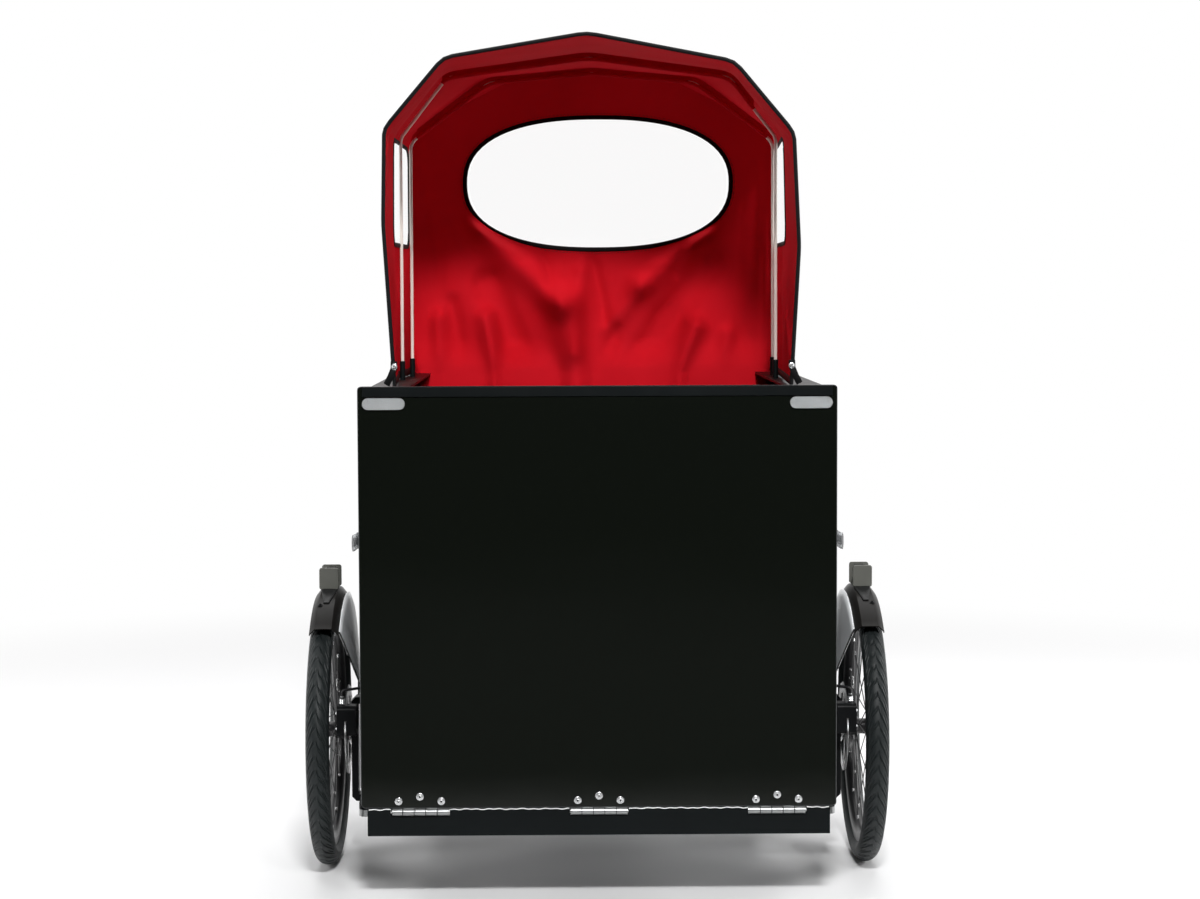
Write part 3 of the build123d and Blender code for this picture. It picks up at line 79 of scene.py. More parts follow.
class Shader:
    """A material's node tree with short calls for the nodes used here."""

    def __init__(self, name):
        self.material = bpy.data.materials.new(name)
        self.material.use_nodes = True
        self.tree = self.material.node_tree
        self.principled = self.tree.nodes["Principled BSDF"]
        self.output = self.tree.nodes["Material Output"]
        self.coordinates = self.node("ShaderNodeTexCoord").outputs["Object"]

    def node(self, kind, **settings):
        made = self.tree.nodes.new(kind)
        for key, value in settings.items():
            setattr(made, key, value)
        return made

    def link(self, source, target):
        self.tree.links.new(source, target)

    def set(self, **values):
        for key, value in values.items():
            socket = self.principled.inputs[key.replace("_", " ")]
            if hasattr(value, "is_output"):
                self.link(value, socket)
            elif isinstance(value, tuple):
                socket.default_value = (*value, 1.0)
            else:
                socket.default_value = value

    def noise(self, scale, detail=3.0, stretch=(1, 1, 1)):
        mapping = self.node("ShaderNodeMapping")
        mapping.inputs["Scale"].default_value = stretch
        self.link(self.coordinates, mapping.inputs["Vector"])
        texture = self.node("ShaderNodeTexNoise")
        texture.inputs["Scale"].default_value = scale
        texture.inputs["Detail"].default_value = detail
        self.link(mapping.outputs["Vector"], texture.inputs["Vector"])
        return texture.outputs["Fac"]

    def wave(self, scale, direction, profile="SIN"):
        texture = self.node("ShaderNodeTexWave", bands_direction=direction, wave_profile=profile)
        texture.inputs["Scale"].default_value = scale
        self.link(self.coordinates, texture.inputs["Vector"])
        return texture.outputs["Fac"]

    def ramp(self, factor, stops):
        ramp = self.node("ShaderNodeValToRGB")
        elements = ramp.color_ramp.elements
        while len(elements) < len(stops):
            elements.new(0.5)
        for element, (place, color) in zip(elements, stops):
            element.position = place
            element.color = (*color, 1.0)
        self.link(factor, ramp.inputs["Fac"])
        return ramp.outputs["Color"]

    def spread(self, factor, low, high):
        """A factor from 0 to 1 remapped between two values."""
        node = self.node("ShaderNodeMapRange")
        node.inputs["To Min"].default_value = low
        node.inputs["To Max"].default_value = high
        self.link(factor, node.inputs["Value"])
        return node.outputs["Result"]

    def math(self, operation, first, second):
        node = self.node("ShaderNodeMath", operation=operation)
        for socket, value in zip(node.inputs, (first, second)):
            if hasattr(value, "is_output"):
                self.link(value, socket)
            else:
                socket.default_value = value
        return node.outputs["Value"]

    def bump(self, height, strength, distance, normal=None):
        node = self.node("ShaderNodeBump")
        node.inputs["Strength"].default_value = strength
        node.inputs["Distance"].default_value = distance
        self.link(height, node.inputs["Height"])
        if normal is not None:
            self.link(normal, node.inputs["Normal"])
        return node.outputs["Normal"]


def tint(color, factor):
    return tuple(min(1.0, part * factor) for part in color)


def plain(name, color, rough, metallic=0.0, coat=0.0, grain=300.0, bump=0.1, mottle=0.15, specular=0.5):
    """Paint, plastic or metal with fine grain, faint mottling and uneven gloss."""
    shader = Shader(name)
    cloud = shader.noise(6.0, 4.0)
    shader.set(
        Base_Color=shader.ramp(cloud, [(0.3, tint(color, 1 - mottle)), (0.7, tint(color, 1 + mottle))]),
        Roughness=shader.spread(shader.noise(40.0, 5.0), rough * 0.8, rough * 1.25),
        Metallic=metallic,
        Coat_Weight=coat,
        Specular_IOR_Level=specular,
        Normal=shader.bump(shader.noise(grain, 2.0), bump, 0.0004),
    )
    return shader.material


def brushed(name, color, rough):
    """Metal with fine streaks along one direction."""
    shader = Shader(name)
    streaks = shader.noise(60.0, 4.0, stretch=(1, 40, 40))
    shader.set(
        Base_Color=shader.ramp(streaks, [(0.3, tint(color, 0.85)), (0.7, tint(color, 1.08))]),
        Roughness=shader.spread(streaks, rough * 0.7, rough * 1.3),
        Metallic=1.0,
        Normal=shader.bump(streaks, 0.08, 0.0003),
    )
    return shader.material


def bright_metal(name, color, rough):
    """Plated metal under studio light: mostly mirror, a little pale."""
    shader = Shader(name)
    grain = shader.noise(180.0, 3.0)
    shader.set(
        Base_Color=shader.ramp(grain, [(0.3, tint(color, 0.88)), (0.7, tint(color, 1.06))]),
        Roughness=shader.spread(grain, rough * 0.8, rough * 1.3),
        Metallic=0.72,
        Normal=shader.bump(grain, 0.05, 0.0002),
    )
    return shader.material


def gloss_sheet(name, color, rough, wave):
    """A thick glossy sheet whose reflections waver a little."""
    shader = Shader(name)
    slow = shader.noise(3.0, 1.0, stretch=(1, 1, 2.5))
    fine = shader.noise(14.0, 2.0)
    surface = shader.math("ADD", slow, shader.math("MULTIPLY", fine, 0.12))
    dust = shader.noise(900.0, 1.0)
    shader.set(
        Base_Color=color,
        Roughness=shader.spread(dust, rough * 0.8, rough * 1.4),
        Normal=shader.bump(surface, wave, 0.004),
        IOR=1.45,
    )
    return shader.material


def cloth(name, color, dark, translucent):
    """Coated canvas: fine weave, faint streaks, light passing through."""
    shader = Shader(name)
    warp = shader.wave(700.0, "X")
    weft = shader.wave(700.0, "Z")
    depth = shader.wave(700.0, "Y")
    weave = shader.math("ADD", shader.math("MULTIPLY", warp, weft), shader.math("MULTIPLY", depth, 0.5))
    cloud = shader.noise(7.0, 4.0)
    fold = shader.noise(18.0, 3.0, stretch=(1, 1, 0.3))
    soft = shader.bump(fold, 0.25, 0.004)
    base = shader.ramp(cloud, [(0.25, dark), (0.75, color)])
    shader.set(
        Base_Color=base,
        Roughness=shader.spread(cloud, 0.62, 0.8),
        Specular_IOR_Level=0.02,
        Normal=shader.bump(weave, 0.15, 0.0003, soft),
    )
    through = shader.node("ShaderNodeBsdfTranslucent")
    shader.link(base, through.inputs["Color"])
    mix = shader.node("ShaderNodeMixShader")
    mix.inputs["Fac"].default_value = translucent
    shader.link(shader.principled.outputs["BSDF"], mix.inputs[1])
    shader.link(through.outputs["BSDF"], mix.inputs[2])
    shader.link(mix.outputs["Shader"], shader.output.inputs["Surface"])
    return shader.material


def film(name):
    """Clear vinyl: see-through, with a milky veil and a soft ripple in its thin gloss."""
    shader = Shader(name)
    ripple = shader.noise(8.0, 2.0)
    shader.set(
        Base_Color=(0.95, 0.96, 0.97),
        Roughness=0.25,
        Alpha=0.06,
        Specular_IOR_Level=0.2,
        Normal=shader.bump(ripple, 0.15, 0.003),
    )
    return shader.material


def prismatic(name):
    """Moulded reflector: rows of small prisms under a clear face."""
    shader = Shader(name)
    rows = shader.wave(420.0, "X", profile="TRI")
    lines = shader.wave(420.0, "Z", profile="TRI")
    cells = shader.math("MULTIPLY", rows, lines)
    shader.set(
        Base_Color=shader.ramp(cells, [(0.1, (0.36, 0.38, 0.39)), (0.7, (0.78, 0.8, 0.8))]),
        Metallic=0.55,
        Roughness=0.22,
        Coat_Weight=0.6,
        Normal=shader.bump(cells, 0.7, 0.0012),
    )
    return shader.material


MATERIALS = {
    "frame_paint": plain("frame_paint", (0.010, 0.011, 0.012), 0.35, coat=0.2),
    "floor_board": plain("floor_board", (0.045, 0.045, 0.048), 0.6, bump=0.4, grain=120),
    "box_panel": gloss_sheet("box_panel", (0.018, 0.02, 0.02), 0.12, 0.2),
    "sill_paint": plain("sill_paint", (0.0042, 0.0058, 0.0062), 0.4, specular=0.12),
    "door_gloss": gloss_sheet("door_gloss", (0.0045, 0.0058, 0.0042), 0.06, 0.25),
    "zinc": bright_metal("zinc", (0.36, 0.37, 0.37), 0.3),
    "chrome_trim": bright_metal("chrome_trim", (0.80, 0.81, 0.82), 0.22),
    # The hoop rods' pinkish-beige is partly a painted reflection of the red cloth around them
    "hoop_rod": plain("hoop_rod", (0.78, 0.73, 0.67), 0.35),
    "hood_cloth": cloth("hood_cloth", (0.62, 0.010, 0.020), (0.52, 0.006, 0.013), 0.06),
    "window_film": film("window_film"),
    "bare_metal": brushed("bare_metal", (0.66, 0.67, 0.68), 0.3),
    "saddle_cover": plain("saddle_cover", (0.025, 0.024, 0.024), 0.5, bump=0.5, grain=220),
    "fender_plastic": plain("fender_plastic", (0.0120, 0.0112, 0.0105), 0.3, bump=0.03, specular=0.04),
    "battery_case": plain("battery_case", (0.03, 0.03, 0.032), 0.5, bump=0.4, grain=500),
    "lamp_red": plain("lamp_red", (0.5, 0.01, 0.01), 0.12, coat=0.8),
    "chain_steel": brushed("chain_steel", (0.42, 0.41, 0.4), 0.35),
    "reflector": prismatic("reflector"),
    "grip_rubber": plain("grip_rubber", (0.03, 0.03, 0.03), 0.7, bump=0.6, grain=260),
    "knuckle_black": plain("knuckle_black", (0.006, 0.0065, 0.007), 0.35, specular=0.1),
    "bracket_gloss": plain("bracket_gloss", (0.02, 0.02, 0.022), 0.1, coat=0.8, bump=0.03),
    "lamp_grey": plain("lamp_grey", (0.115, 0.117, 0.103), 0.5),
    "tyre_rubber": plain("tyre_rubber", (0.0085, 0.012, 0.0125), 0.55, bump=0.3, grain=400, specular=0.35),
    "wheel_black": plain("wheel_black", (0.010, 0.010, 0.011), 0.32, specular=0.4),
    "rotor_steel": brushed("rotor_steel", (0.55, 0.55, 0.55), 0.3),
    "motor_case": plain("motor_case", (0.025, 0.025, 0.027), 0.35),
    "crank_black": plain("crank_black", (0.03, 0.03, 0.032), 0.35),
    "cable_black": plain("cable_black", (0.007, 0.007, 0.008), 0.45, specular=0.25),
    "binding_black": plain("binding_black", (0.006, 0.0065, 0.007), 0.6, bump=0.5, grain=900, specular=0.12),
    "thread_dark": plain("thread_dark", (0.05, 0.006, 0.008), 0.7),
    "spoke_steel": brushed("spoke_steel", (0.5, 0.5, 0.5), 0.25),
    "edge_worn": plain("edge_worn", (0.03, 0.032, 0.034), 0.35),
    "seal_pale": plain("seal_pale", (0.86, 0.87, 0.87), 0.45),
    # The wing's silver is made near white: partly its paint, partly a painted sheen that brightens a face the
    # lamps leave dim
    "wing_silver_and_sheen": plain("wing_silver_and_sheen", (0.84, 0.86, 0.88), 0.35, metallic=0.1, coat=0.2, bump=0.02, mottle=0.03),
    "amber": plain("amber", (0.7, 0.22, 0.02), 0.15, coat=0.6, bump=0.5, grain=300),
}

slot_of_node = {part["node"]: part["material_slot"] for part in frame["record"]["subparts"]}
for name, node in nodes.items():
    node.data.materials.clear()
    node.data.materials.append(MATERIALS[slot_of_node[name]])


# Mesh helpers


class Piece:
    """Gathers skinned, swept and turned forms in one mesh that rides on a body."""

    def __init__(self):
        self.mesh = bmesh.new()

    def points(self, row):
        return [self.mesh.verts.new(point) for point in row]

    def skin(self, rows, closed=True, wrap=False, capped=False):
        """Joins rows of points with quads; closed joins each row's ends, wrap the last row to the first."""
        made = [self.points(row) for row in rows]
        pairs = list(zip(made, made[1:]))
        if wrap:
            pairs.append((made[-1], made[0]))
        count = len(made[0])
        for near, far in pairs:
            for index in range(count if closed else count - 1):
                after = (index + 1) % count
                self.mesh.faces.new((near[index], near[after], far[after], far[index]))
        if capped:
            self.mesh.faces.new(made[0])
            self.mesh.faces.new(made[-1])
        return made

    def tube(self, points, radius, sides=8, wrap=False, flat=1.0, up=None):
        """A round bar along points, or a flat strap when flat is under 1, its flat face towards up."""
        points = [Vector(point) for point in points]
        last = len(points) - 1
        reference = Vector(up) if up else None
        rings = []
        for index, point in enumerate(points):
            ahead = points[(index + 1) % len(points)] if wrap else points[min(index + 1, last)]
            behind = points[index - 1] if wrap else points[max(index - 1, 0)]
            tangent = (ahead - behind).normalized()
            reference = reference or tangent.orthogonal()
            side = tangent.cross(reference).normalized()
            top = side.cross(tangent)
            reference = reference if up else top
            rings.append(ring(point, side * radius, top * radius * flat, sides))
        self.skin(rings, wrap=wrap, capped=not wrap)

    def turned(self, place, axis, profile, sides=24):
        """A form turned about an axis; profile is (distance along it, radius) from end to end."""
        place, axis = Vector(place), Vector(axis).normalized()
        side = axis.orthogonal().normalized()
        top = axis.cross(side)
        rings = [ring(place + axis * along, side * radius, top * radius, sides) for along, radius in profile]
        self.skin(rings, capped=True)

    def loop_turned(self, place, axis, outline, sides):
        """A closed outline of (distance along the axis, radius), turned once round."""
        place, axis = Vector(place), Vector(axis).normalized()
        side = axis.orthogonal().normalized()
        top = axis.cross(side)
        rings = []
        for index in range(sides):
            angle = 2 * math.pi * index / sides
            out = side * math.cos(angle) + top * math.sin(angle)
            rings.append([place + axis * along + out * radius for along, radius in outline])
        self.skin(rings, wrap=True)

    def slab(self, outline, place, across, up, thickness, edge):
        """A plate with softened edges; its outline is in the plane of across and up."""
        place, across, up = Vector(place), Vector(across), Vector(up)
        out = across.cross(up)
        middle_a = sum(a for a, b in outline) / len(outline)
        middle_b = sum(b for a, b in outline) / len(outline)
        reach = max(math.hypot(a - middle_a, b - middle_b) for a, b in outline)
        shrink = 1 - edge / reach
        rows = []
        for height, scale in ((0, 1), (thickness - edge, 1), (thickness, shrink)):
            rows.append([
                place + out * height
                + across * (middle_a + (a - middle_a) * scale) + up * (middle_b + (b - middle_b) * scale)
                for a, b in outline
            ])
        self.skin(rows, capped=True)

    def bolt(self, place, axis, radius, height):
        """A washer and a hexagonal head on it."""
        place, axis = Vector(place), Vector(axis).normalized()
        washer = ((0, 1.5 * radius), (0.2 * height, 1.5 * radius), (0.25 * height, 1.4 * radius))
        self.turned(place, axis, washer, 20)
        self.turned(place + axis * 0.25 * height, axis,
                    ((0, radius), (0.55 * height, radius), (0.75 * height, 0.8 * radius)), 6)

    def screw(self, place, axis, radius):
        """A washer and a domed head with a socket."""
        place, axis = Vector(place), Vector(axis).normalized()
        washer = ((0, 1.45 * radius), (0.16 * radius, 1.45 * radius), (0.24 * radius, 1.3 * radius))
        self.turned(place, axis, washer)
        dome = [(math.sin(step * math.pi / 12), math.cos(step * math.pi / 12)) for step in range(6)]
        profile = [(0.24 * radius, radius)]
        profile += [(0.3 * radius + 0.55 * radius * a, radius * b) for a, b in dome]
        socket = [(0.85 * radius, 0.42 * radius), (0.55 * radius, 0.36 * radius)]
        self.turned(place, axis, profile[:5] + socket)

    def make(self, name, body, slot, material=None, sharp=35):
        """Turns the gathered forms into one object that rides on a body."""
        bmesh.ops.recalc_face_normals(self.mesh, faces=self.mesh.faces)
        data = bpy.data.meshes.new(name)
        self.mesh.to_mesh(data)
        self.mesh.free()
        data.shade_smooth()
        data.set_sharp_from_angle(angle=math.radians(sharp))
        data.materials.append(MATERIALS[material or slot])
        piece = bpy.data.objects.new(name, data)
        bpy.context.scene.collection.objects.link(piece)
        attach(piece, body)
        return piece


def ring(centre, side, top, sides):
    steps = [2 * math.pi * index / sides for index in range(sides)]
    return [centre + side * math.cos(angle) + top * math.sin(angle) for angle in steps]


def subdivide(piece):
    smoother = piece.modifiers.new("smooth", "SUBSURF")
    smoother.levels = smoother.render_levels = 1


def mix(first, second, share):
    return first + (second - first) * share


def rounded(half_a, half_b, corner, steps=6):
    """A rounded rectangle round the origin."""
    outline = []
    for turn, (a, b) in enumerate(((1, 1), (-1, 1), (-1, -1), (1, -1))):
        for step in range(steps + 1):
            angle = math.pi / 2 * (turn + step / steps)
            outline.append((a * (half_a - corner) + corner * math.cos(angle),
                            b * (half_b - corner) + corner * math.sin(angle)))
    return outline


def eased(line):
    """An open line with its corners softened."""
    middle = [(before + point * 2 + after) / 4 for before, point, after in zip(line, line[1:], line[2:])]
    return [line[0], *middle, line[-1]]


# Hood: one stretched cloth over the hoops, its back panel with an oval window

HOOD_FRONT_Y = -0.949
HOOD_REAR_Y = -0.242
HOOD_LEAN = math.tan(math.radians(7))
# The rear edge and the back panel lean forward from this height up
LEAN_FOOT_Z = 0.876
# Points further out than this belong to the hood's walls
WALL_X = 0.3
# Sag and wrinkles push the cloth towards this height
HOOD_CENTRE_Z = 1.15
WRINKLE_DEPTH = 0.0025
WRINKLE_SCALE = (9, 9, 5)
CREASE_FADE = 0.04
# Each cross-section: its y, then (x, z) of foot, leg, shoulder, corner, peak and down again
HOOD_SECTIONS = (
    (HOOD_FRONT_Y, (
        (-0.340, 0.8765), (-0.357, 1.150), (-0.354, 1.308), (-0.254, 1.426), (-0.015, 1.466),
        (0.231, 1.419), (0.331, 1.300), (0.340, 1.110), (0.327, 0.8765),
    )),
    (-0.599, (
        (-0.362, 0.8765), (-0.363, 1.120), (-0.362, 1.318), (-0.271, 1.432), (-0.010, 1.468),
        (0.251, 1.432), (0.342, 1.318), (0.343, 1.120), (0.342, 0.8765),
    )),
    (-0.439, (
        (-0.352, 0.8765), (-0.352, 1.120), (-0.352, 1.323), (-0.203, 1.435), (-0.002, 1.453),
        (0.199, 1.435), (0.348, 1.323), (0.348, 1.120), (0.348, 0.8765),
    )),
    (HOOD_REAR_Y, (
        (-0.353, 0.8765), (-0.353, 1.120), (-0.350, 1.346), (-0.142, 1.447), (0.000, 1.449),
        (0.142, 1.447), (0.350, 1.346), (0.353, 1.120), (0.353, 0.8765),
    )),
)
SECTION_STEPS = (18, 17, 10, 16, 16, 10, 17, 18)
BAY_STEPS = (28, 14, 16)
BAY_SAG = (0.006, 0.003, 0.003)
# Side windows: middle y and z, half length, half height, corner
SIDE_WINDOW = (-0.5688, 1.212, 0.180, 0.0925, 0.040)
WINDOW_SNAP = 0.0075
OVAL_MIDDLE = (0.011, 1.243)
OVAL_HALF = (0.258, 0.127)
OVAL_POWER = 2.4
PANEL_FOOT_STEPS = 84
PANEL_RINGS = 30
# The panel's foot is tucked in front of the rear rail and hangs down inside the box
FLAP_Y = -0.266
FLAP_DROPS = (0.008, 0.016, 0.024, 0.032)
FLAP_SLANT = 0.0015
TUCK_Z = 0.945
TUCK_REACH = 0.066
# The folds fade near the oval, towards CALM_Z, where CALM_SHARE of them is left, and beside the walls
OVAL_FADE = 0.12
CALM_Z = 1.25
CALM_REACH = 0.1
CALM_SHARE = 0.2
PANEL_HALF = 0.353
SIDE_FADE = 0.03
FOLD_GAIN = 2.0
FOLD_WIDTH = 0.85
FOLD_REAR_LIMIT = 0.022
# Folds of the back panel: from and to (x, z), half width, and height towards the front
FOLDS = (
    ((-0.215, 1.150), (-0.060, 1.012), 0.036, 0.018),
    ((-0.060, 1.012), (-0.028, 0.850), 0.042, 0.024),
    ((0.214, 1.146), (0.095, 1.045), 0.030, 0.014),
    ((0.095, 1.045), (0.040, 0.975), 0.024, 0.008),
    ((-0.204, 0.985), (-0.190, 0.850), 0.024, 0.018),
    ((-0.302, 0.985), (-0.295, 0.850), 0.019, 0.013),
    ((0.200, 0.965), (0.160, 0.850), 0.024, 0.018),
    ((0.266, 0.950), (0.246, 0.850), 0.017, 0.009),
    ((-0.022, 1.075), (-0.034, 0.915), 0.018, 0.006),
    ((-0.204, 1.050), (-0.119, 0.850), 0.026, -0.022),
    ((0.226, 1.088), (0.148, 0.979), 0.026, -0.020),
    ((0.148, 0.979), (0.057, 0.850), 0.026, -0.022),
    ((-0.100, 1.112), (-0.080, 1.045), 0.013, -0.006),
    ((-0.002, 1.108), (0.024, 0.979), 0.015, -0.007),
    ((-0.275, 1.012), (-0.249, 0.850), 0.014, -0.009),
    ((0.045, 0.960), (0.018, 0.850), 0.016, -0.008),
    ((0.180, 1.124), (0.160, 1.071), 0.012, -0.006),
    ((-0.335, 1.300), (-0.300, 0.950), 0.030, -0.006),
    ((0.335, 1.300), (0.300, 0.950), 0.030, -0.006),
)
# Creases of the roof and walls at the front shoulders: from and to (y, z), half width, depth inward
CREASES = (
    ((-0.949, 1.290), (-0.830, 1.350), 0.012, 0.007),
    ((-0.949, 1.262), (-0.850, 1.300), 0.010, 0.006),
    ((-0.949, 1.318), (-0.800, 1.400), 0.010, 0.004),
    ((-0.949, 0.905), (-0.800, 0.990), 0.014, 0.005),
    ((-0.610, 1.040), (-0.420, 0.930), 0.020, 0.005),
    ((-0.440, 1.100), (-0.270, 0.960), 0.020, 0.005),
)


def near_line(point, start, end):
    """Distance of a point from a line between two points, all in a plane."""
    run = (end[0] - start[0], end[1] - start[1])
    reach = (point[0] - start[0], point[1] - start[1])
    share = (run[0] * reach[0] + run[1] * reach[1]) / (run[0] ** 2 + run[1] ** 2)
    share = min(1.0, max(0.0, share))
    return math.hypot(reach[0] - run[0] * share, reach[1] - run[1] * share)


def relief(table, point):
    total = 0.0
    for start, end, width, height in table:
        total += height * math.exp(-(near_line(point, start, end) / (width * FOLD_WIDTH)) ** 2)
    return total


def section_outline(knots):
    """The cross-section's points, with its corners softened."""
    outline = []
    for index, steps in enumerate(SECTION_STEPS):
        start, end = Vector(knots[index]), Vector(knots[index + 1])
        outline += [start.lerp(end, step / steps) for step in range(steps)]
    outline.append(Vector(knots[-1]))
    return eased(outline)


def hood_rows():
    """Rows of points from the front edge to the back panel."""
    rows = []
    for bay, steps in enumerate(BAY_STEPS):
        near_y, near_knots = HOOD_SECTIONS[bay]
        far_y, far_knots = HOOD_SECTIONS[bay + 1]
        near_outline, far_outline = section_outline(near_knots), section_outline(far_knots)
        last_bay = bay == len(BAY_STEPS) - 1
        for step in range(steps + last_bay):
            share = step / steps
            sag = BAY_SAG[bay] * math.sin(math.pi * share) ** 0.8
            row = []
            for near_point, far_point in zip(near_outline, far_outline):
                x, z = near_point.lerp(far_point, share)
                inward = Vector((-x, HOOD_CENTRE_Z - z)).normalized()
                far_lean = HOOD_LEAN * (z - LEAN_FOOT_Z) if last_bay else 0.0
                y = mix(near_y, far_y - far_lean, share)
                depth = sag + relief(CREASES, (y, z)) * min(1.0, (y - HOOD_FRONT_Y) / CREASE_FADE)
                spot = Vector(part * scale for part, scale in zip((x, y, z), WRINKLE_SCALE))
                depth += WRINKLE_DEPTH * noise.noise(spot) * math.sin(math.pi * share)
                depth *= 0.0 if last_bay and step == steps else 1.0
                row.append(Vector((x + inward.x * depth, y, z + inward.y * depth)))
            rows.append(row)
    return rows


def window_distance(y, z):
    """How far a point is outside the side window's outline; negative inside."""
    middle_y, middle_z, half_y, half_z, corner = SIDE_WINDOW
    over_y = abs(y - middle_y) - (half_y - corner)
    over_z = abs(z - middle_z) - (half_z - corner)
    return math.hypot(max(over_y, 0), max(over_z, 0)) + min(max(over_y, over_z), 0) - corner


def snap_to_window(point):
    """Moves a wall point that is close to the window's outline onto it."""
    gap = window_distance(point.y, point.z)
    if abs(point.x) < WALL_X or abs(gap) > WINDOW_SNAP:
        return
    step = 0.0005
    slope = Vector((0, window_distance(point.y + step, point.z) - gap,
                    window_distance(point.y, point.z + step) - gap)) / step
    point -= slope * gap


def oval_point(angle, grow=0.0):
    """A point (x, z) of the oval window's outline, moved out by grow."""
    power = OVAL_POWER
    half_a, half_b = OVAL_HALF[0] + grow, OVAL_HALF[1] + grow
    across, rise = math.cos(angle), math.sin(angle)
    reach = ((abs(across) / half_a) ** power + (abs(rise) / half_b) ** power) ** (-1 / power)
    return OVAL_MIDDLE[0] + reach * across, OVAL_MIDDLE[1] + reach * rise


def panel_point(x, z, share):
    """A point of the back panel; share is 0 at the oval and 1 at the panel's edge."""
    fade = min(1.0, share / OVAL_FADE) * min(1.0, max(0.0, CALM_Z - z) / CALM_REACH + CALM_SHARE)
    side_fade = min(1.0, max(0.0, PANEL_HALF - abs(x)) / SIDE_FADE)
    y = HOOD_REAR_Y - HOOD_LEAN * (z - LEAN_FOOT_Z)
    fold = relief(FOLDS, (x, z)) * FOLD_GAIN
    if fold < 0:
        fold = FOLD_REAR_LIMIT * math.tanh(fold / FOLD_REAR_LIMIT)
    y -= fold * fade * side_fade
    tuck = min(1.0, max(0.0, TUCK_Z - z) / TUCK_REACH)
    y = mix(y, min(y, FLAP_Y), tuck * tuck * (3 - 2 * tuck))
    return Vector((x, y, z))


def make_hood():
    """The cloth shell and its clear windows; also the roof's rows and the cloth's area."""
    rows = hood_rows()
    for row in rows:
        for point in row:
            snap_to_window(point)
    cloth, film = Piece(), Piece()
    for near, far in zip(rows, rows[1:]):
        for index in range(len(near) - 1):
            corners = (near[index], near[index + 1], far[index + 1], far[index])
            middle = sum(corners, Vector()) / 4
            inside = abs(middle.x) > WALL_X and window_distance(middle.y, middle.z) < 0
            target = film if inside else cloth
            target.mesh.faces.new(target.points(corners))
    edge = rows[-1]
    foot_left, foot_right = edge[0], edge[-1]
    foot = [foot_right.lerp(foot_left, step / PANEL_FOOT_STEPS) for step in range(1, PANEL_FOOT_STEPS)]
    loop = edge + foot
    rings, panes = [], []
    for step in range(PANEL_RINGS + 1):
        share = step / PANEL_RINGS
        row, pane = [], []
        for point in loop:
            angle = math.atan2(point.z - OVAL_MIDDLE[1], point.x - OVAL_MIDDLE[0])
            inner = oval_point(angle)
            x, z = mix(inner[0], point.x, share), mix(inner[1], point.z, share)
            at_seam = step == PANEL_RINGS and point in edge
            row.append(point.copy() if at_seam else panel_point(x, z, share))
            spot = [mix(middle, edge_value, share) for middle, edge_value in zip(OVAL_MIDDLE, inner)]
            pane.append(panel_point(*spot, 0))
        rings.append(row)
        panes.append(pane)
    cloth.skin(rings)
    panel_foot = rings[-1][len(edge) - 1:] + rings[-1][:1]
    flap = [[point + Vector((0, -FLAP_SLANT * step, -drop)) for point in panel_foot]
            for step, drop in enumerate((0.0, *FLAP_DROPS))]
    cloth.skin(flap, closed=False)
    film.mesh.faces.new(film.skin([panes[1], *panes[4::5]])[0])
    for target in (cloth, film):
        bmesh.ops.remove_doubles(target.mesh, verts=target.mesh.verts, dist=0.0004)
    area = sum(face.calc_area() for face in cloth.mesh.faces)
    hood = cloth.make("hood_cloth", "root", "hood_cloth", sharp=80)
    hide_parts("hood_fabric")
    subdivide(hood)
    glass = film.make("hood_window_films", "root", "window_film", sharp=80)
    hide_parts("hood_windows")
    return hood, rows, area


# Trim of the hood

OVAL_SIDES = 120
WINDOW_STEP = 0.012
PIPING_RADIUS = 0.0034
# Bindings, hems and straps are flat strips: half width, and thickness as a share of it
OVAL_BINDING = (0.0044, 0.45)
WINDOW_BINDING = (0.0042, 0.5)
HEM = (0.007, 0.25)
STRAP = (0.0055, 0.3)
# Sleeves sewn to the roof: the hoop's y, then (x, z) along the hoop
HOOP_SLEEVES = (
    (-0.599, ((-0.274, 1.4115), (-0.266, 1.421), (-0.010, 1.456), (0.246, 1.421), (0.290, 1.364))),
    (-0.439, ((-0.330, 1.323), (-0.194, 1.425), (-0.002, 1.442), (0.190, 1.425), (0.327, 1.323))),
)
SLEEVE_RADIUS = 0.0037
SLEEVE_STEP = 0.014
SLEEVE_SEAM = (Vector((0, 0.0015, 0.003)), Vector((0, 0.0006, 0.016)))
# Each strap: side and x; then its route as (share of the flare, y, z)
STRAPS = ((-1, -0.341), (1, 0.328))
STRAP_FLARE = 0.016
STRAP_ROUTE = ((0, -0.950, 0.920), (0, -0.954, 0.908), (0.35, -0.954, 0.894), (0.8, -0.950, 0.881))
STRAP_SNAP = (-0.05, -0.9555, 0.911)
SNAP_RADIUS = 0.0036
SNAP_ROWS = (6, 4, 9)
SNAP_OFFSET = (0.0015, 0.008)
STITCH_RADIUS = 0.0005
STITCH_INSET = 0.0075
OVAL_STITCHES = 150
OVAL_STITCH_TURN = 0.024


def wall_outline(rows, side):
    """Points of a side window's outline on the cloth."""
    middle_y, middle_z, half_y, half_z, corner = SIDE_WINDOW
    wall = [point for row in rows for point in row if point.x * side > WALL_X]
    outline = []
    for y, z in rounded(half_y, half_z, corner, 10):
        spot = (middle_y + y, middle_z + z)
        near = min(wall, key=lambda point: math.hypot(point.y - spot[0], point.z - spot[1]))
        outline.append(Vector((near.x, *spot)))
    return outline


def spread_loop(points, spacing):
    """The same closed line with evenly spaced points."""
    spread = []
    for start, end in zip(points, points[1:] + points[:1]):
        steps = max(1, round((end - start).length / spacing))
        spread += [start.lerp(end, step / steps) for step in range(steps)]
    return spread


def smooth_path(points, spacing):
    """A line through points with softened corners."""
    line = []
    for start, end in zip(points, points[1:]):
        steps = max(2, round((end - start).length / spacing))
        line += [start.lerp(end, step / steps) for step in range(steps)]
    line.append(points[-1])
    return eased(eased(line))


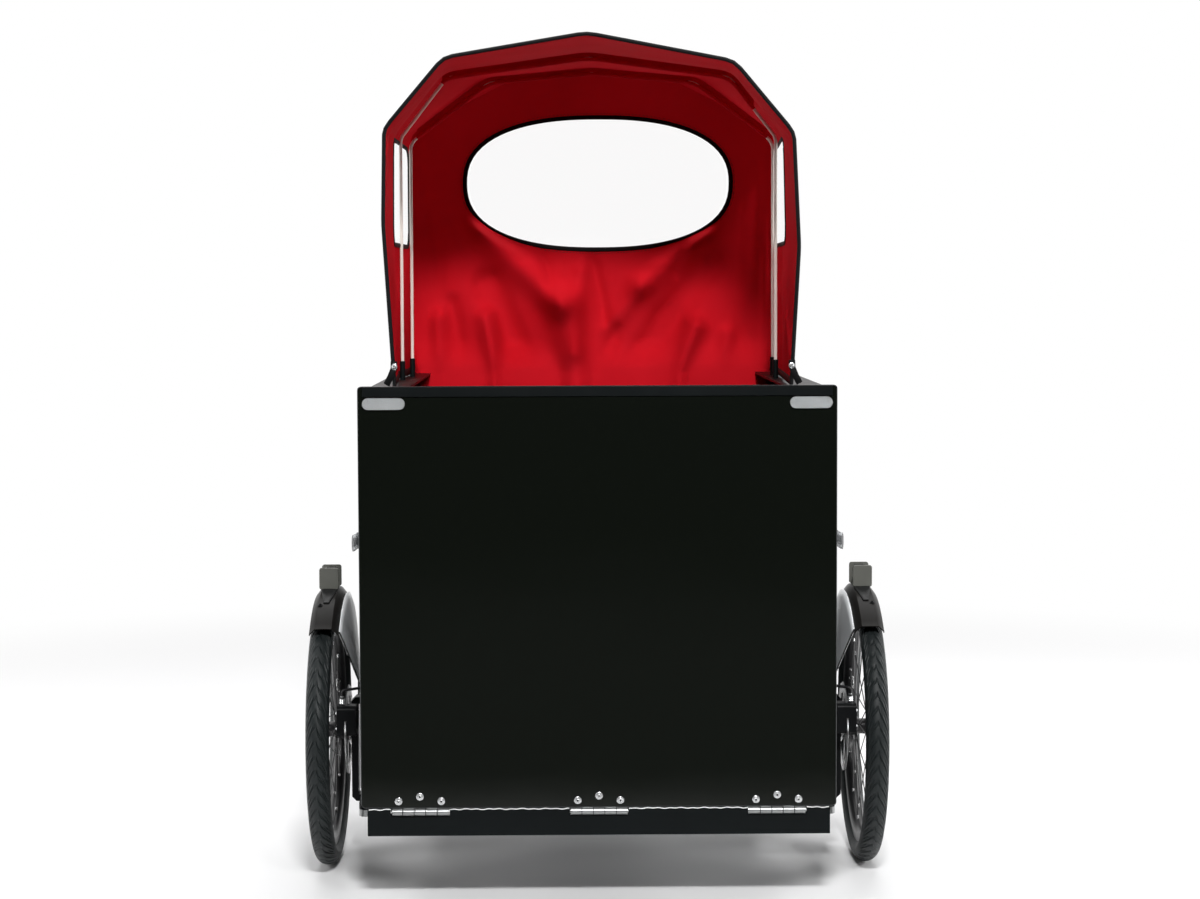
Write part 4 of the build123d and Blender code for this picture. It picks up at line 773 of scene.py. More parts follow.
def hood_bindings(rows):
    """Piping on the front edge, and bindings round the windows."""
    piping, bindings = Piece(), Piece()
    piping.tube(rows[0], PIPING_RADIUS, 8)
    oval = [panel_point(*oval_point(2 * math.pi * index / OVAL_SIDES), 0) for index in range(OVAL_SIDES)]
    bindings.tube(oval, OVAL_BINDING[0], 8, wrap=True, flat=OVAL_BINDING[1], up=(0, 1, 0))
    for side in (1, -1):
        outline = spread_loop(wall_outline(rows, side), WINDOW_STEP)
        bindings.tube(outline, WINDOW_BINDING[0], 8, wrap=True, flat=WINDOW_BINDING[1], up=(1, 0, 0))
    return [
        piping.make("hood_piping", "root", "cable_black", "binding_black"),
        bindings.make("window_bindings", "root", "cable_black", "binding_black"),
    ]


def hood_hems(rows):
    """Hems along both feet."""
    hems = Piece()
    for end in (0, -1):
        foot = [row[end] + Vector((0, 0, HEM[0])) for row in rows]
        hems.tube(foot, HEM[0], 8, flat=HEM[1], up=(1, 0, 0))
    return hems.make("hood_hems", "root", "cable_black", "binding_black")


def hood_sleeves():
    """Sleeves that hold the hoops, each with its seam allowance."""
    sleeves = Piece()
    for y, path in HOOP_SLEEVES:
        line = smooth_path([Vector((x, y, z)) for x, z in path], SLEEVE_STEP)
        sleeves.tube(line, SLEEVE_RADIUS, 12)
        sleeves.skin([[point + offset for offset in SLEEVE_SEAM] for point in line], closed=False)
    return sleeves.make("hoop_sleeves", "root", "hood_cloth")


def hood_fastenings(rows):
    """A strap at each front corner, and snaps along the foot."""
    straps, snaps = Piece(), Piece()
    for side, x in STRAPS:
        flare = side * STRAP_FLARE
        straps.tube([(x + flare * share, y, z) for share, y, z in STRAP_ROUTE],
                    STRAP[0], 8, flat=STRAP[1], up=(0, 1, 0))
        snaps.screw((x + flare * STRAP_SNAP[0], *STRAP_SNAP[1:]), (0, -1, 0), SNAP_RADIUS)
    first, last, pitch = SNAP_ROWS
    for row in rows[first:len(rows) - last:pitch]:
        for end, side in ((0, -1), (-1, 1)):
            place = row[end] + Vector((side * SNAP_OFFSET[0], 0, SNAP_OFFSET[1]))
            snaps.screw(place, (side, 0, 0), SNAP_RADIUS)
    return [
        straps.make("hood_straps", "root", "cable_black", "binding_black"),
        snaps.make("hood_snaps", "root", "chrome_trim"),
    ]


def hood_stitches(rows):
    """Stitches beside the piping and round the oval."""
    stitches = Piece()
    line = [point + (inner - point).normalized() * STITCH_INSET for point, inner in zip(rows[0], rows[1])]
    for start, end in zip(line[1:], line[2:]):
        stitches.tube([start.lerp(end, 0.2), start.lerp(end, 0.75)], STITCH_RADIUS, 4)
    for index in range(OVAL_STITCHES):
        angle = 2 * math.pi * index / OVAL_STITCHES
        ends = [panel_point(*oval_point(turn, 0.007), 0) + Vector((0, -0.0006, 0))
                for turn in (angle, angle + OVAL_STITCH_TURN)]
        stitches.tube(ends, STITCH_RADIUS, 4)
    return stitches.make("hood_stitches", "root", "hood_cloth", "thread_dark")


# Wheels and tyres

FRONT_AXLE_X = 0.485
FRONT_AXLE_Y = -0.649
FRONT_AXLE_Z = 0.243
REAR_AXLE = Vector((0, 0.674, 0.326))
CORNERS = (("left", 1), ("right", -1))
# Each tyre: radius, width, blocks round it
FRONT_TYRE = (0.243, 0.040, 60)
REAR_TYRE = (0.326, 0.047, 78)
ROWS_PER_BLOCK = 8
TREAD_ANGLE = 62
TREAD_STEPS = 20
TREAD_DEPTH = 0.0022
TREAD_LEAD = 1.5
SIDEWALL_ANGLES = (140, 125, 110, 100, 92, 84, 75, 67)
SIDE_RIB = 0.0007
# The front hub's outline: along the axle, radius
FRONT_HUB = (
    (-0.018, 0.0103), (-0.018, 0.015), (-0.0165, 0.0165), (-0.0155, 0.0235), (-0.0145, 0.024),
    (-0.0125, 0.024), (-0.0115, 0.0235), (-0.009, 0.0155), (-0.006, 0.014),
    (0.006, 0.014), (0.009, 0.0155), (0.0115, 0.0235), (0.0125, 0.024),
    (0.0145, 0.024), (0.0155, 0.0235), (0.0165, 0.0165), (0.018, 0.015), (0.018, 0.0103),
)
# Each wheel: rim radius, depth and width, flange radius and x, spokes, hub outline
FRONT_WHEEL = (0.2045, 0.018, 0.025, 0.0205, 0.0135, 28, FRONT_HUB)
REAR_WHEEL = (0.2805, 0.018, 0.029, 0.109, 0.026, 36, None)
SPOKE_RADIUS = 0.001
SPOKE_LEAD = 38
NIPPLE = ((0, 0.0013), (0.001, 0.0019), (0.010, 0.0021))
VALVE = ((0, 0.0045), (0.002, 0.0045), (0.0025, 0.0032), (0.022, 0.003), (0.023, 0.0042), (0.035, 0.0042),
         (0.037, 0.003))


def front_axle(side):
    return Vector((side * FRONT_AXLE_X, FRONT_AXLE_Y, FRONT_AXLE_Z))


def tread_shift(turn):
    """How far round, in blocks, the grooves lead at this angle of the tyre's section."""
    reach = min(1.0, abs(turn) / TREAD_ANGLE)
    lead = TREAD_LEAD * reach ** 1.4
    return lead + (0.5 if turn > 0 else 0.0) * min(1.0, reach / 0.12)


def tread_depth(row, turn):
    """Depth of the pattern: long curved grooves, with a short one between them at the shoulder."""
    reach = abs(turn) / TREAD_ANGLE
    if reach < 0.1 or reach > 1.01:
        return 0.0
    place = row % ROWS_PER_BLOCK
    groove = 1.0 if place in (0, 1) else 0.0
    sipe = 0.7 if place == 5 and 0.4 < reach < 0.95 else 0.0
    return TREAD_DEPTH * max(groove, sipe) * min(1.0, (1.02 - reach) / 0.1)


def make_tyre(name, node, body, centre, tyre):
    """A tyre with grooved tread and a raised line on each sidewall."""
    radius, width, blocks = tyre
    half = width / 2
    turns = [-angle for angle in SIDEWALL_ANGLES]
    turns += [-TREAD_ANGLE + index * 2 * TREAD_ANGLE / TREAD_STEPS for index in range(TREAD_STEPS + 1)]
    turns += reversed(SIDEWALL_ANGLES)
    rings = []
    count = blocks * ROWS_PER_BLOCK
    for row in range(count):
        loop = []
        for turn in turns:
            bend = math.radians(turn)
            rib = SIDE_RIB if 88 < abs(turn) < 95 else 0.0
            depth = tread_depth(row, turn) - rib
            out = radius - half + (half - depth) * math.cos(bend)
            angle = 2 * math.pi * (row / count + tread_shift(turn) / blocks)
            loop.append(centre + Vector(((half - depth) * math.sin(bend),
                                         out * math.cos(angle), out * math.sin(angle))))
        rings.append(loop)
    piece = Piece()
    piece.skin(rings, closed=False, wrap=True)
    made = piece.make(name, body, "tyre_rubber", sharp=50)
    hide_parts(node)


def rim_outline(radius, depth, width):
    """A box-section rim's outline, as (distance from the wheel's middle, radius)."""
    half = width / 2
    outer = (
        (half - 0.0075, radius - depth), (half - 0.0045, radius - 0.88 * depth),
        (half - 0.0015, radius - 0.62 * depth), (half, radius - 0.45 * depth), (half, radius + 0.004),
        (half - 0.0022, radius + 0.004), (half - 0.003, radius - 0.002),
    )
    return [*outer, *((-x, reach) for x, reach in reversed(outer))]


def make_wire_wheel(name, node, body, centre, wheel):
    """Rim, hub shell, laced round spokes with their nipples, and the valve."""
    rim_radius, rim_depth, rim_width, flange_radius, flange_x, count, hub = wheel
    rim = Piece()
    rim.loop_turned(centre, (1, 0, 0), rim_outline(rim_radius, rim_depth, rim_width), 120)
    if hub:
        rim.loop_turned(centre, (1, 0, 0), hub, 40)
    made = rim.make(name, body, "wheel_black", sharp=40)
    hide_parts(node)

    spokes, nipples = Piece(), Piece()
    seat = rim_radius - rim_depth
    for index in range(count):
        flange = 1 if index % 2 else -1
        lead = math.radians(SPOKE_LEAD if index % 4 < 2 else -SPOKE_LEAD)
        angle = 2 * math.pi * index / count
        start = centre + Vector((flange * flange_x, flange_radius * math.cos(angle + lead),
                                 flange_radius * math.sin(angle + lead)))
        end = centre + Vector((flange * 0.0025, seat * math.cos(angle), seat * math.sin(angle)))
        along = (end - start).normalized()
        elbow = start + Vector((-flange * 0.003, 0, 0))
        spokes.tube([elbow, start, start + along * 0.004, end], SPOKE_RADIUS, 6)
        nipples.turned(end - along * NIPPLE[-1][0], along, NIPPLE, 8)
    spokes.make(f"{name}_spokes", body, "wheel_black", sharp=60)
    valve_angle = math.pi * 3 / count
    out = Vector((0, math.cos(valve_angle), math.sin(valve_angle)))
    nipples.turned(centre + out * seat, -out, VALVE, 12)
    nipples.make(f"{name}_nipples", body, "wheel_black", "spoke_steel")


# Brake rotors

ROTOR_INBOARD = 0.035
ROTOR_HALF = 0.0009
ROTOR_SIDES = 180
ROTOR_RADII = (0.0615, 0.0645, 0.0675, 0.0705, 0.0735, 0.0765, 0.080)
ROTOR_WAVES = 12
ROTOR_WAVE = 0.0012
ROTOR_ARMS = 6
# Each arm: reach from and to, sweep in radians, half width, thickness as a share of it
ROTOR_ARM = (0.017, 0.0635, 0.55, 0.0036, 0.27)
CARRIER_BORE = 0.0103
CARRIER_RADIUS = 0.0175
CARRIER_FLANGE = 0.0215
CARRIER_REACH = 0.018
ROTOR_BOLTS = (0.0190, 0.0019)


def rotor_solid(index, cell):
    """Whether the ring is solid there; its holes run outwards in slanting rows of four."""
    return not (cell == 1 + (index % ROTOR_SIDES) // 6 % 4 and index % 6 in (2, 3, 4))


def drilled_ring(piece, centre):
    grids = []
    for x in (-ROTOR_HALF, ROTOR_HALF):
        grid = []
        for index in range(ROTOR_SIDES):
            angle = 2 * math.pi * index / ROTOR_SIDES
            wavy = ROTOR_WAVE * math.cos(angle * ROTOR_WAVES)
            grid.append(piece.points(
                centre + Vector((x, (radius + wavy) * math.cos(angle), (radius + wavy) * math.sin(angle)))
                for radius in ROTOR_RADII
            ))
        grids.append(grid)
    last = len(ROTOR_RADII) - 2
    for index in range(ROTOR_SIDES):
        after = (index + 1) % ROTOR_SIDES
        for cell in range(last + 1):
            if not rotor_solid(index, cell):
                continue
            for grid, flip in zip(grids, (False, True)):
                corners = (grid[index][cell], grid[after][cell], grid[after][cell + 1], grid[index][cell + 1])
                piece.mesh.faces.new(reversed(corners) if flip else corners)
            walls = (
                (cell == 0 or not rotor_solid(index, cell - 1), (index, cell), (after, cell)),
                (cell == last or not rotor_solid(index, cell + 1), (index, cell + 1), (after, cell + 1)),
                (not rotor_solid(index - 1, cell), (index, cell), (index, cell + 1)),
                (not rotor_solid(index + 1, cell), (after, cell), (after, cell + 1)),
            )
            for wanted, first, second in walls:
                if wanted:
                    corners = [grid[first[0]][first[1]] for grid in grids]
                    corners += [grid[second[0]][second[1]] for grid in reversed(grids)]
                    piece.mesh.faces.new(corners)


def make_rotor(name, node, body, side):
    """A drilled brake ring on six swept arms, with its carrier and six bolts."""
    centre = front_axle(side) - Vector((side * ROTOR_INBOARD, 0, 0))
    piece = Piece()
    drilled_ring(piece, centre)
    near, far, sweep, half, flat = ROTOR_ARM
    for arm in range(ROTOR_ARMS):
        path = []
        for step in range(6):
            reach = mix(near, far, step / 5)
            turn = 2 * math.pi * arm / ROTOR_ARMS + sweep * (step / 5) ** 1.2
            path.append(centre + Vector((0, reach * math.cos(turn), reach * math.sin(turn))))
        piece.tube(path, half, 8, flat=flat, up=(1, 0, 0))
    made = piece.make(name, body, "rotor_steel", sharp=40)
    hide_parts(node)

    carrier = Piece()
    depth = (ROTOR_INBOARD - CARRIER_REACH) * side
    outline = (
        (-0.001 * side, CARRIER_BORE), (-0.001 * side, CARRIER_FLANGE), (0.0012 * side, CARRIER_FLANGE),
        (0.0022 * side, CARRIER_RADIUS), (depth, CARRIER_RADIUS), (depth, CARRIER_BORE),
    )
    carrier.loop_turned(centre, (1, 0, 0), outline, 32)
    carrier.make(f"{name}_carrier", body, "wheel_black")
    bolts = Piece()
    circle, radius = ROTOR_BOLTS
    for index in range(ROTOR_ARMS):
        angle = 2 * math.pi * index / ROTOR_ARMS + 0.2
        place = centre + Vector((-side * 0.001, circle * math.cos(angle), circle * math.sin(angle)))
        bolts.screw(place, (-side, 0, 0), radius)
    bolts.make(f"{name}_bolts", body, "rotor_steel", "chrome_trim")


# Mudguards, their wings and the lamps on them

FENDER_X = 0.479
FENDER_RADIUS = 0.260
FENDER_ANGLES = (52, 150)
FENDER_STEPS = 56
# The mudguard's section: across, and rise over its radius, along the outer face
FENDER_SECTION = (
    (-0.0260, -0.0165), (-0.0258, -0.0140), (-0.0215, -0.0082), (-0.0160, -0.0014), (-0.0143, -0.0003),
    (-0.0070, 0.0001), (0.0000, 0.0002), (0.0070, 0.0001), (0.0143, -0.0003), (0.0160, -0.0014),
    (0.0215, -0.0082), (0.0258, -0.0140), (0.0260, -0.0165),
)
FENDER_SHEET = 0.0020
FENDER_INNER = 0.955
FENDER_END_LIFT = 0.0012
WING_STEPS = 32
WING_LEVELS = 12
WING_TOP_X = 0.4515
WING_TOP_DROP = 0.011
WING_FOOT_X = 0.4305
WING_FOOT_Z = 0.334
WING_FOOT_HALF = 0.013
WING_FOOT_DROPS = (0.008, 0.017, 0.026)
WING_SHEET = 0.0022
LAMP_X = 0.4805
LAMP_Z = 0.5212
LAMP_PLATE = (0.0175, 0.0196)
LAMP_CORNER = 0.0045
LAMP_PLATE_SHEET = 0.005
LAMP_RIM_INSET = 0.0026
# Each lamp plate: its y, and the way it faces
LAMP_PLATES = ((-0.6740, 1), (-0.6240, -1))
# The lamp's stem: z, half x, half y
LAMP_STEM = (
    (0.4985, 0.0062, 0.020), (0.5015, 0.0068, 0.021), (0.5085, 0.0118, 0.0242), (0.512, 0.0118, 0.0242),
)
# The lamp's foot runs down the mudguard in a tongue: angle from the front, half width
LAMP_TONGUE = ((88, 0.0145), (82, 0.0145), (76, 0.0105), (70, 0.0062), (68.6, 0.0052))
# The tongue's section: share of its half width, rise over the mudguard
TONGUE_SECTION = ((-1, -0.001), (-1, 0.0016), (-0.85, 0.0024), (0.85, 0.0024), (1, 0.0016), (1, -0.001))


def arc_point(side, x, reach, angle):
    """A point round the front axle, by its angle above the horizontal from the front."""
    turn = math.radians(angle)
    return Vector((side * x, FRONT_AXLE_Y - reach * math.cos(turn), FRONT_AXLE_Z + reach * math.sin(turn)))


def make_mudguard(side_name, side):
    """A bevelled mudguard with a turned edge at each end."""
    inner = [(x * FENDER_INNER, rise - FENDER_SHEET) for x, rise in reversed(FENDER_SECTION)]
    rows = []
    for step in range(FENDER_STEPS + 1):
        angle = mix(*FENDER_ANGLES, step / FENDER_STEPS)
        lift = FENDER_END_LIFT if step in (0, FENDER_STEPS) else 0.0
        rows.append([arc_point(side, FENDER_X + x, FENDER_RADIUS + rise + lift, angle)
                     for x, rise in (*FENDER_SECTION, *inner)])
    guard = Piece()
    guard.skin(rows, capped=True)
    made = guard.make(f"mudguard_{side_name}", f"corner_{side_name}", "fender_plastic", sharp=24)
    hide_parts(f"fender_{side_name}")


def make_wing(side_name, side):
    """The sheet wing that joins the mudguard to the knuckle, fuller in its middle."""
    body = f"corner_{side_name}"
    first, last = FENDER_ANGLES
    rows = []
    for step in range(WING_STEPS + 1):
        share = step / WING_STEPS
        top = arc_point(side, WING_TOP_X, FENDER_RADIUS - WING_TOP_DROP, mix(first + 0.6, last - 0.6, share))
        foot_y = FRONT_AXLE_Y + mix(-WING_FOOT_HALF, WING_FOOT_HALF, share)
        foot = Vector((side * WING_FOOT_X, foot_y, WING_FOOT_Z))
        bulge = mix(0.95, 0.60, math.sin(math.pi * share) ** 0.7)
        row = []
        for level in range(WING_LEVELS + 1):
            down = level / WING_LEVELS
            point = top.lerp(foot, down)
            point.x = side * mix(WING_TOP_X, WING_FOOT_X, down ** bulge)
            row.append(point)
        rows.append(row + [foot - Vector((0, 0, drop)) for drop in WING_FOOT_DROPS])
    wing, edges = Piece(), Piece()
    wing.skin(rows, closed=False)
    # Near-white silver, partly a painted sheen on a dimly lit face
    made = wing.make(f"mudguard_wing_{side_name}", body, "bracket_gloss", "wing_silver_and_sheen", sharp=60)
    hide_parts(f"fender_bracket_{side_name}")
    shell = made.modifiers.new("sheet", "SOLIDIFY")
    shell.thickness = WING_SHEET
    shell.offset = 0
    for row in (rows[0], rows[-1]):
        edges.tube(row, 0.0017, 8)
    edges.make(f"wing_edges_{side_name}", body, "bracket_gloss")


def make_lamp(side_name, side):
    """Two shaded plates on a block, a stem, and a tongue down the mudguard."""
    body = f"corner_{side_name}"
    plates, lamp = Piece(), Piece()
    outline = rounded(*LAMP_PLATE, LAMP_CORNER)
    inset = [half - LAMP_RIM_INSET for half in LAMP_PLATE]
    for y, out in LAMP_PLATES:
        plates.slab(outline, (side * LAMP_X, y, LAMP_Z), (out, 0, 0), (0, 0, 1), LAMP_PLATE_SHEET, 0.0012)
        rim = [Vector((side * LAMP_X + a, y - out * 0.0040, LAMP_Z + b)) for a, b in rounded(*inset, 0.0035)]
        plates.tube(rim, 0.0006, 6, wrap=True, up=(0, 1, 0))
    block = rounded(0.0098, 0.0135, 0.003, 4)
    lamp.slab(block, (side * LAMP_X, -0.6745, LAMP_Z + 0.002), (-1, 0, 0), (0, 0, 1), 0.051, 0.001)
    lamp.skin([[Vector((side * FENDER_X + a, FRONT_AXLE_Y + b, z))
                for a, b in rounded(half_x, half_y, 0.004, 4)] for z, half_x, half_y in LAMP_STEM], capped=True)
    lamp.skin([[arc_point(side, FENDER_X + across * half, FENDER_RADIUS + rise, angle)
                for across, rise in TONGUE_SECTION] for angle, half in LAMP_TONGUE], capped=True)
    made = plates.make(f"lamp_plates_{side_name}", body, "lamp_grey")
    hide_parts(f"lamp_{side_name}")
    lamp.make(f"lamp_body_{side_name}", body, "knuckle_black")


# Fasteners and brake parts of the front corners

ROTOR_X = FRONT_AXLE_X - ROTOR_INBOARD
CALIPER_Y = FRONT_AXLE_Y - 0.058
CALIPER_SCREWS = ((-0.012, 0.284), (0.013, 0.284), (-0.012, 0.256))
CALIPER_CAPS = (0.262, 0.2768)
CAP_PROFILE = ((0, 0.0085), (0.0015, 0.0085), (0.0022, 0.0072), (0.0022, 0.004), (0.001, 0.0038))
ADJUSTER_Z = 0.298
ADJUSTER_PROFILE = ((0, 0.0042), (0.002, 0.0052), (0.004, 0.0044), (0.006, 0.0052), (0.008, 0.0044),
                    (0.0095, 0.005), (0.011, 0.0034), (0.015, 0.0032))
STRAP_BOLTS = (-0.005, 0.006)
WING_BOLTS = ((-0.700, 0.392), (-0.688, 0.386))
# Each mudguard screw: angle from the front, shift across
FENDER_SCREWS = ((67, 0.0045), (122, -0.006))
FENDER_SCREW_REACH = 0.2605


def make_corner_details(side_name, side):
    """Fasteners and brake parts of one front corner."""
    body = f"corner_{side_name}"
    metal = Piece()
    for shift, z in CALIPER_SCREWS:
        metal.screw((side * (ROTOR_X + 0.0152), CALIPER_Y + shift, z), (side, 0, 0), 0.0026)
    metal.turned((side * (ROTOR_X + 0.006), CALIPER_Y, ADJUSTER_Z), (0, 0, 1), ADJUSTER_PROFILE, 16)
    for shift in STRAP_BOLTS:
        metal.bolt((side * (WING_FOOT_X - 0.0015), FRONT_AXLE_Y + shift, 0.330), (-side, 0, 0), 0.0028, 0.004)
    metal.make(f"corner_{side_name}_metal", body, "rotor_steel", "chrome_trim")

    dark = Piece()
    for y, z in WING_BOLTS:
        dark.bolt((side * 0.4455, y, z), (side * 0.9, -0.4, 0.1), 0.0024, 0.0035)
    for angle, shift in FENDER_SCREWS:
        out = Vector((0, -math.cos(math.radians(angle)), math.sin(math.radians(angle))))
        place = front_axle(side) + Vector((side * shift, 0, 0)) + out * FENDER_SCREW_REACH
        dark.screw(place, out, 0.0032)
    for z in CALIPER_CAPS:
        dark.turned((side * (ROTOR_X - 0.0192), CALIPER_Y, z), (-side, 0, 0), CAP_PROFILE, 20)
    dark.make(f"corner_{side_name}_bolts", body, "knuckle_black")


# Door and box trim

DOOR_FACE_Y = -1.009
DOOR_BACK_Y = -0.9849
DOOR_MIDDLE_Z = 0.527
DOOR_HALF = (0.3975, 0.3527)
DOOR_BACK_SCREWS = (0.26, 0.45, 0.64, 0.82)
REFLECTOR_X = 0.355
REFLECTOR_Z = 0.8513
REFLECTOR_HALF = (0.0348, 0.0091)
# Door screws over each hinge: shift along it, z
HINGE_MIDDLES = (-0.300, 0.000, 0.299)
HINGE_SCREWS = ((-0.0357, 0.1853), (0, 0.1930), (0.0357, 0.1853))
SCREW_RADIUS = 0.0043
# Painted shade: a dark hexagon deep in each screw's socket; painted shadow: a thin dark ring under each washer
SOCKET_SHADE_PROFILE = ((0.45 * SCREW_RADIUS, 0.40 * SCREW_RADIUS), (0.7 * SCREW_RADIUS, 0.40 * SCREW_RADIUS))
WASHER_SHADOW_PROFILE = ((0, 1.62 * SCREW_RADIUS), (0.06 * SCREW_RADIUS, 1.62 * SCREW_RADIUS))
HINGE_AXIS = (-1.009, 0.167)
HINGE_RADIUS = 0.006
HINGE_LENGTH = 0.096
HINGE_KNUCKLES = 5
HINGE_PIN_END = ((-0.001, 0.0028), (0.0006, 0.0028), (0.0012, 0.0018))
SEAL_RUNS = ((-0.386, -0.349), (-0.250, -0.050), (0.050, 0.250), (0.349, 0.386))
SEAL_PLACE = (-1.0080, 0.1712)
SEAL_RADIUS = 0.0009
SEAL_STEP = 0.004


def make_door_screws():
    """The hinge screws of the door's face with their washers; a dark hexagon in each socket is painted shade, and
    a thin dark ring round each washer a painted shadow.
    """
    screws, screw_shade = Piece(), Piece()
    for middle in HINGE_MIDDLES:
        for shift, z in HINGE_SCREWS:
            place = (middle + shift, DOOR_FACE_Y - 0.0001, z)
            screws.screw(place, (0, -1, 0), SCREW_RADIUS)
            # Painted shade in the socket and a painted shadow round the washer
            screw_shade.turned(place, (0, -1, 0), SOCKET_SHADE_PROFILE, 6)
            screw_shade.turned(place, (0, -1, 0), WASHER_SHADOW_PROFILE, 24)
    screws.make("door_screws", "door", "zinc", "chrome_trim")
    screw_shade.make("door_screw_shade", "door", "zinc", "cable_black")


def make_hinge_lines():
    """Dark lines between the hinges' knuckles, painted shade of the gaps there, and the ends of their pins."""
    gap_shade, ends = Piece(), Piece()
    for middle in HINGE_MIDDLES:
        for knuckle in range(1, HINGE_KNUCKLES):
            x = middle + HINGE_LENGTH * (knuckle / HINGE_KNUCKLES - 0.5)
            place = Vector((x, *HINGE_AXIS))
            loop = ring(place, Vector((0, HINGE_RADIUS, 0)), Vector((0, 0, HINGE_RADIUS)), 32)
            # Painted shade: a dark ring where one knuckle meets the next
            gap_shade.tube(loop, 0.0007, 6, wrap=True, up=(1, 0, 0))
        for side in (1, -1):
            ends.turned((middle + side * HINGE_LENGTH / 2, *HINGE_AXIS), (side, 0, 0), HINGE_PIN_END, 16)
    gap_shade.make("hinge_gap_shade", "door", "zinc", "cable_black")
    ends.make("hinge_pin_ends", "door", "zinc")


def make_door_trim():
    """The door's worn edge, the reflectors' bezels, and the screws of its inner side."""
    edge = Piece()
    outline = [Vector((a, DOOR_FACE_Y + 0.0006, DOOR_MIDDLE_Z + b)) for a, b in rounded(*DOOR_HALF, 0.006, 4)]
    edge.tube(spread_loop(outline, 0.03), 0.0009, 6, wrap=True, up=(0, 1, 0))
    edge.make("door_edge", "door", "door_gloss", "edge_worn")

    bezels = Piece()
    for side in (-1, 1):
        outline = [Vector((side * REFLECTOR_X + a, DOOR_FACE_Y - 0.0005, REFLECTOR_Z + b))
                   for a, b in rounded(*REFLECTOR_HALF, 0.0090, 8)]
        bezels.tube(outline, 0.0008, 6, wrap=True, up=(0, 1, 0))
    bezels.make("reflector_bezels", "door", "reflector", "chrome_trim")

    back = Piece()
    for x in (-0.385, 0.385):
        for z in DOOR_BACK_SCREWS:
            back.screw((x, DOOR_BACK_Y, z), (0, 1, 0), 0.0032)
    back.make("door_back_screws", "door", "zinc", "chrome_trim")


def make_sill_seal():
    """A thin pale strip in the gap under the door, waving a little between the hinges."""
    seal = Piece()
    for start, end in SEAL_RUNS:
        steps = round((end - start) / SEAL_STEP)
        points = []
        for step in range(steps + 1):
            x = mix(start, end, step / steps)
            wave = 0.0006 * math.sin(x * 330) + 0.0004 * math.sin(x * 143 + 1.3)
            points.append((x, SEAL_PLACE[0], SEAL_PLACE[1] + wave))
        seal.tube(points, SEAL_RADIUS, 8)
    seal.make("sill_seal", "root", "sill_paint", "seal_pale")


WALL_FACE_X = 0.3842
BOX_REAR_Y = -0.2318
# Bolts and rivets of a side wall, and rivets of the rear wall
WALL_BOLTS = ((-0.957, 0.263), (-0.957, 0.198), (-0.966, 0.560), (-0.957, 0.740), (-0.957, 0.840),
              (-0.262, 0.220), (-0.262, 0.420), (-0.262, 0.620), (-0.262, 0.820))
WALL_RIVETS = ((-0.86, 0.852), (-0.74, 0.852), (-0.35, 0.852), (-0.93, 0.180), (-0.37, 0.180), (-0.31, 0.180))
REAR_RIVETS = [(x, z) for x in (-0.30, -0.15, 0.0, 0.15, 0.30) for z in (0.195, 0.845)]
RIVET_RADIUS = 0.0032
EDGE_X = 0.3845
EDGE_YS = (-0.9822, BOX_REAR_Y)
EDGE_ZS = (0.172, 0.30, 0.50, 0.70, 0.868)
POST_SCREWS = (0.30, 0.50, 0.70)


def make_box_details():
    """Bolts, rivets and edge beads of the box's walls, and screws of its posts."""
    bolts, rivets, edges, caps = Piece(), Piece(), Piece(), Piece()
    for side in (1, -1):
        wall = side * WALL_FACE_X
        for y, z in WALL_BOLTS:
            bolts.bolt((wall, y, z), (side, 0, 0), 0.0048, 0.007)
        for y, z in WALL_RIVETS:
            rivets.screw((wall, y, z), (side, 0, 0), RIVET_RADIUS)
        for y in EDGE_YS:
            edges.tube([(side * EDGE_X, y, z) for z in EDGE_ZS], 0.0022, 8)
        for z in POST_SCREWS:
            caps.screw((side * 0.352, -0.9500, z), (0, 1, 0), 0.004)
    for x, z in REAR_RIVETS:
        rivets.screw((x, BOX_REAR_Y, z), (0, 1, 0), RIVET_RADIUS)
    bolts.make("box_bolts", "root", "zinc", "chrome_trim")
    rivets.make("box_rivets", "root", "zinc")
    edges.make("box_edges", "root", "sill_paint")
    caps.make("post_screws", "root", "zinc")


LATCH_Z = 0.618
# The lever's route and the bail's route: out from the wall, y
LATCH_LEVER = ((0.018, -0.936), (0.0215, -0.950), (0.022, -0.968), (0.0235, -0.982), (0.0255, -0.990))
LATCH_BAIL = ((0.012, -0.944), (0.0155, -0.970), (0.013, -0.994), (0.008, -0.9985))
LATCH_BAIL_HALF = 0.0085
LATCH_RIVETS = [(y, rise) for rise in (-0.018, 0.018) for y in (-0.939, -0.968)]
LATCH_PIN = ((0, 0.0026), (0.031, 0.0026))


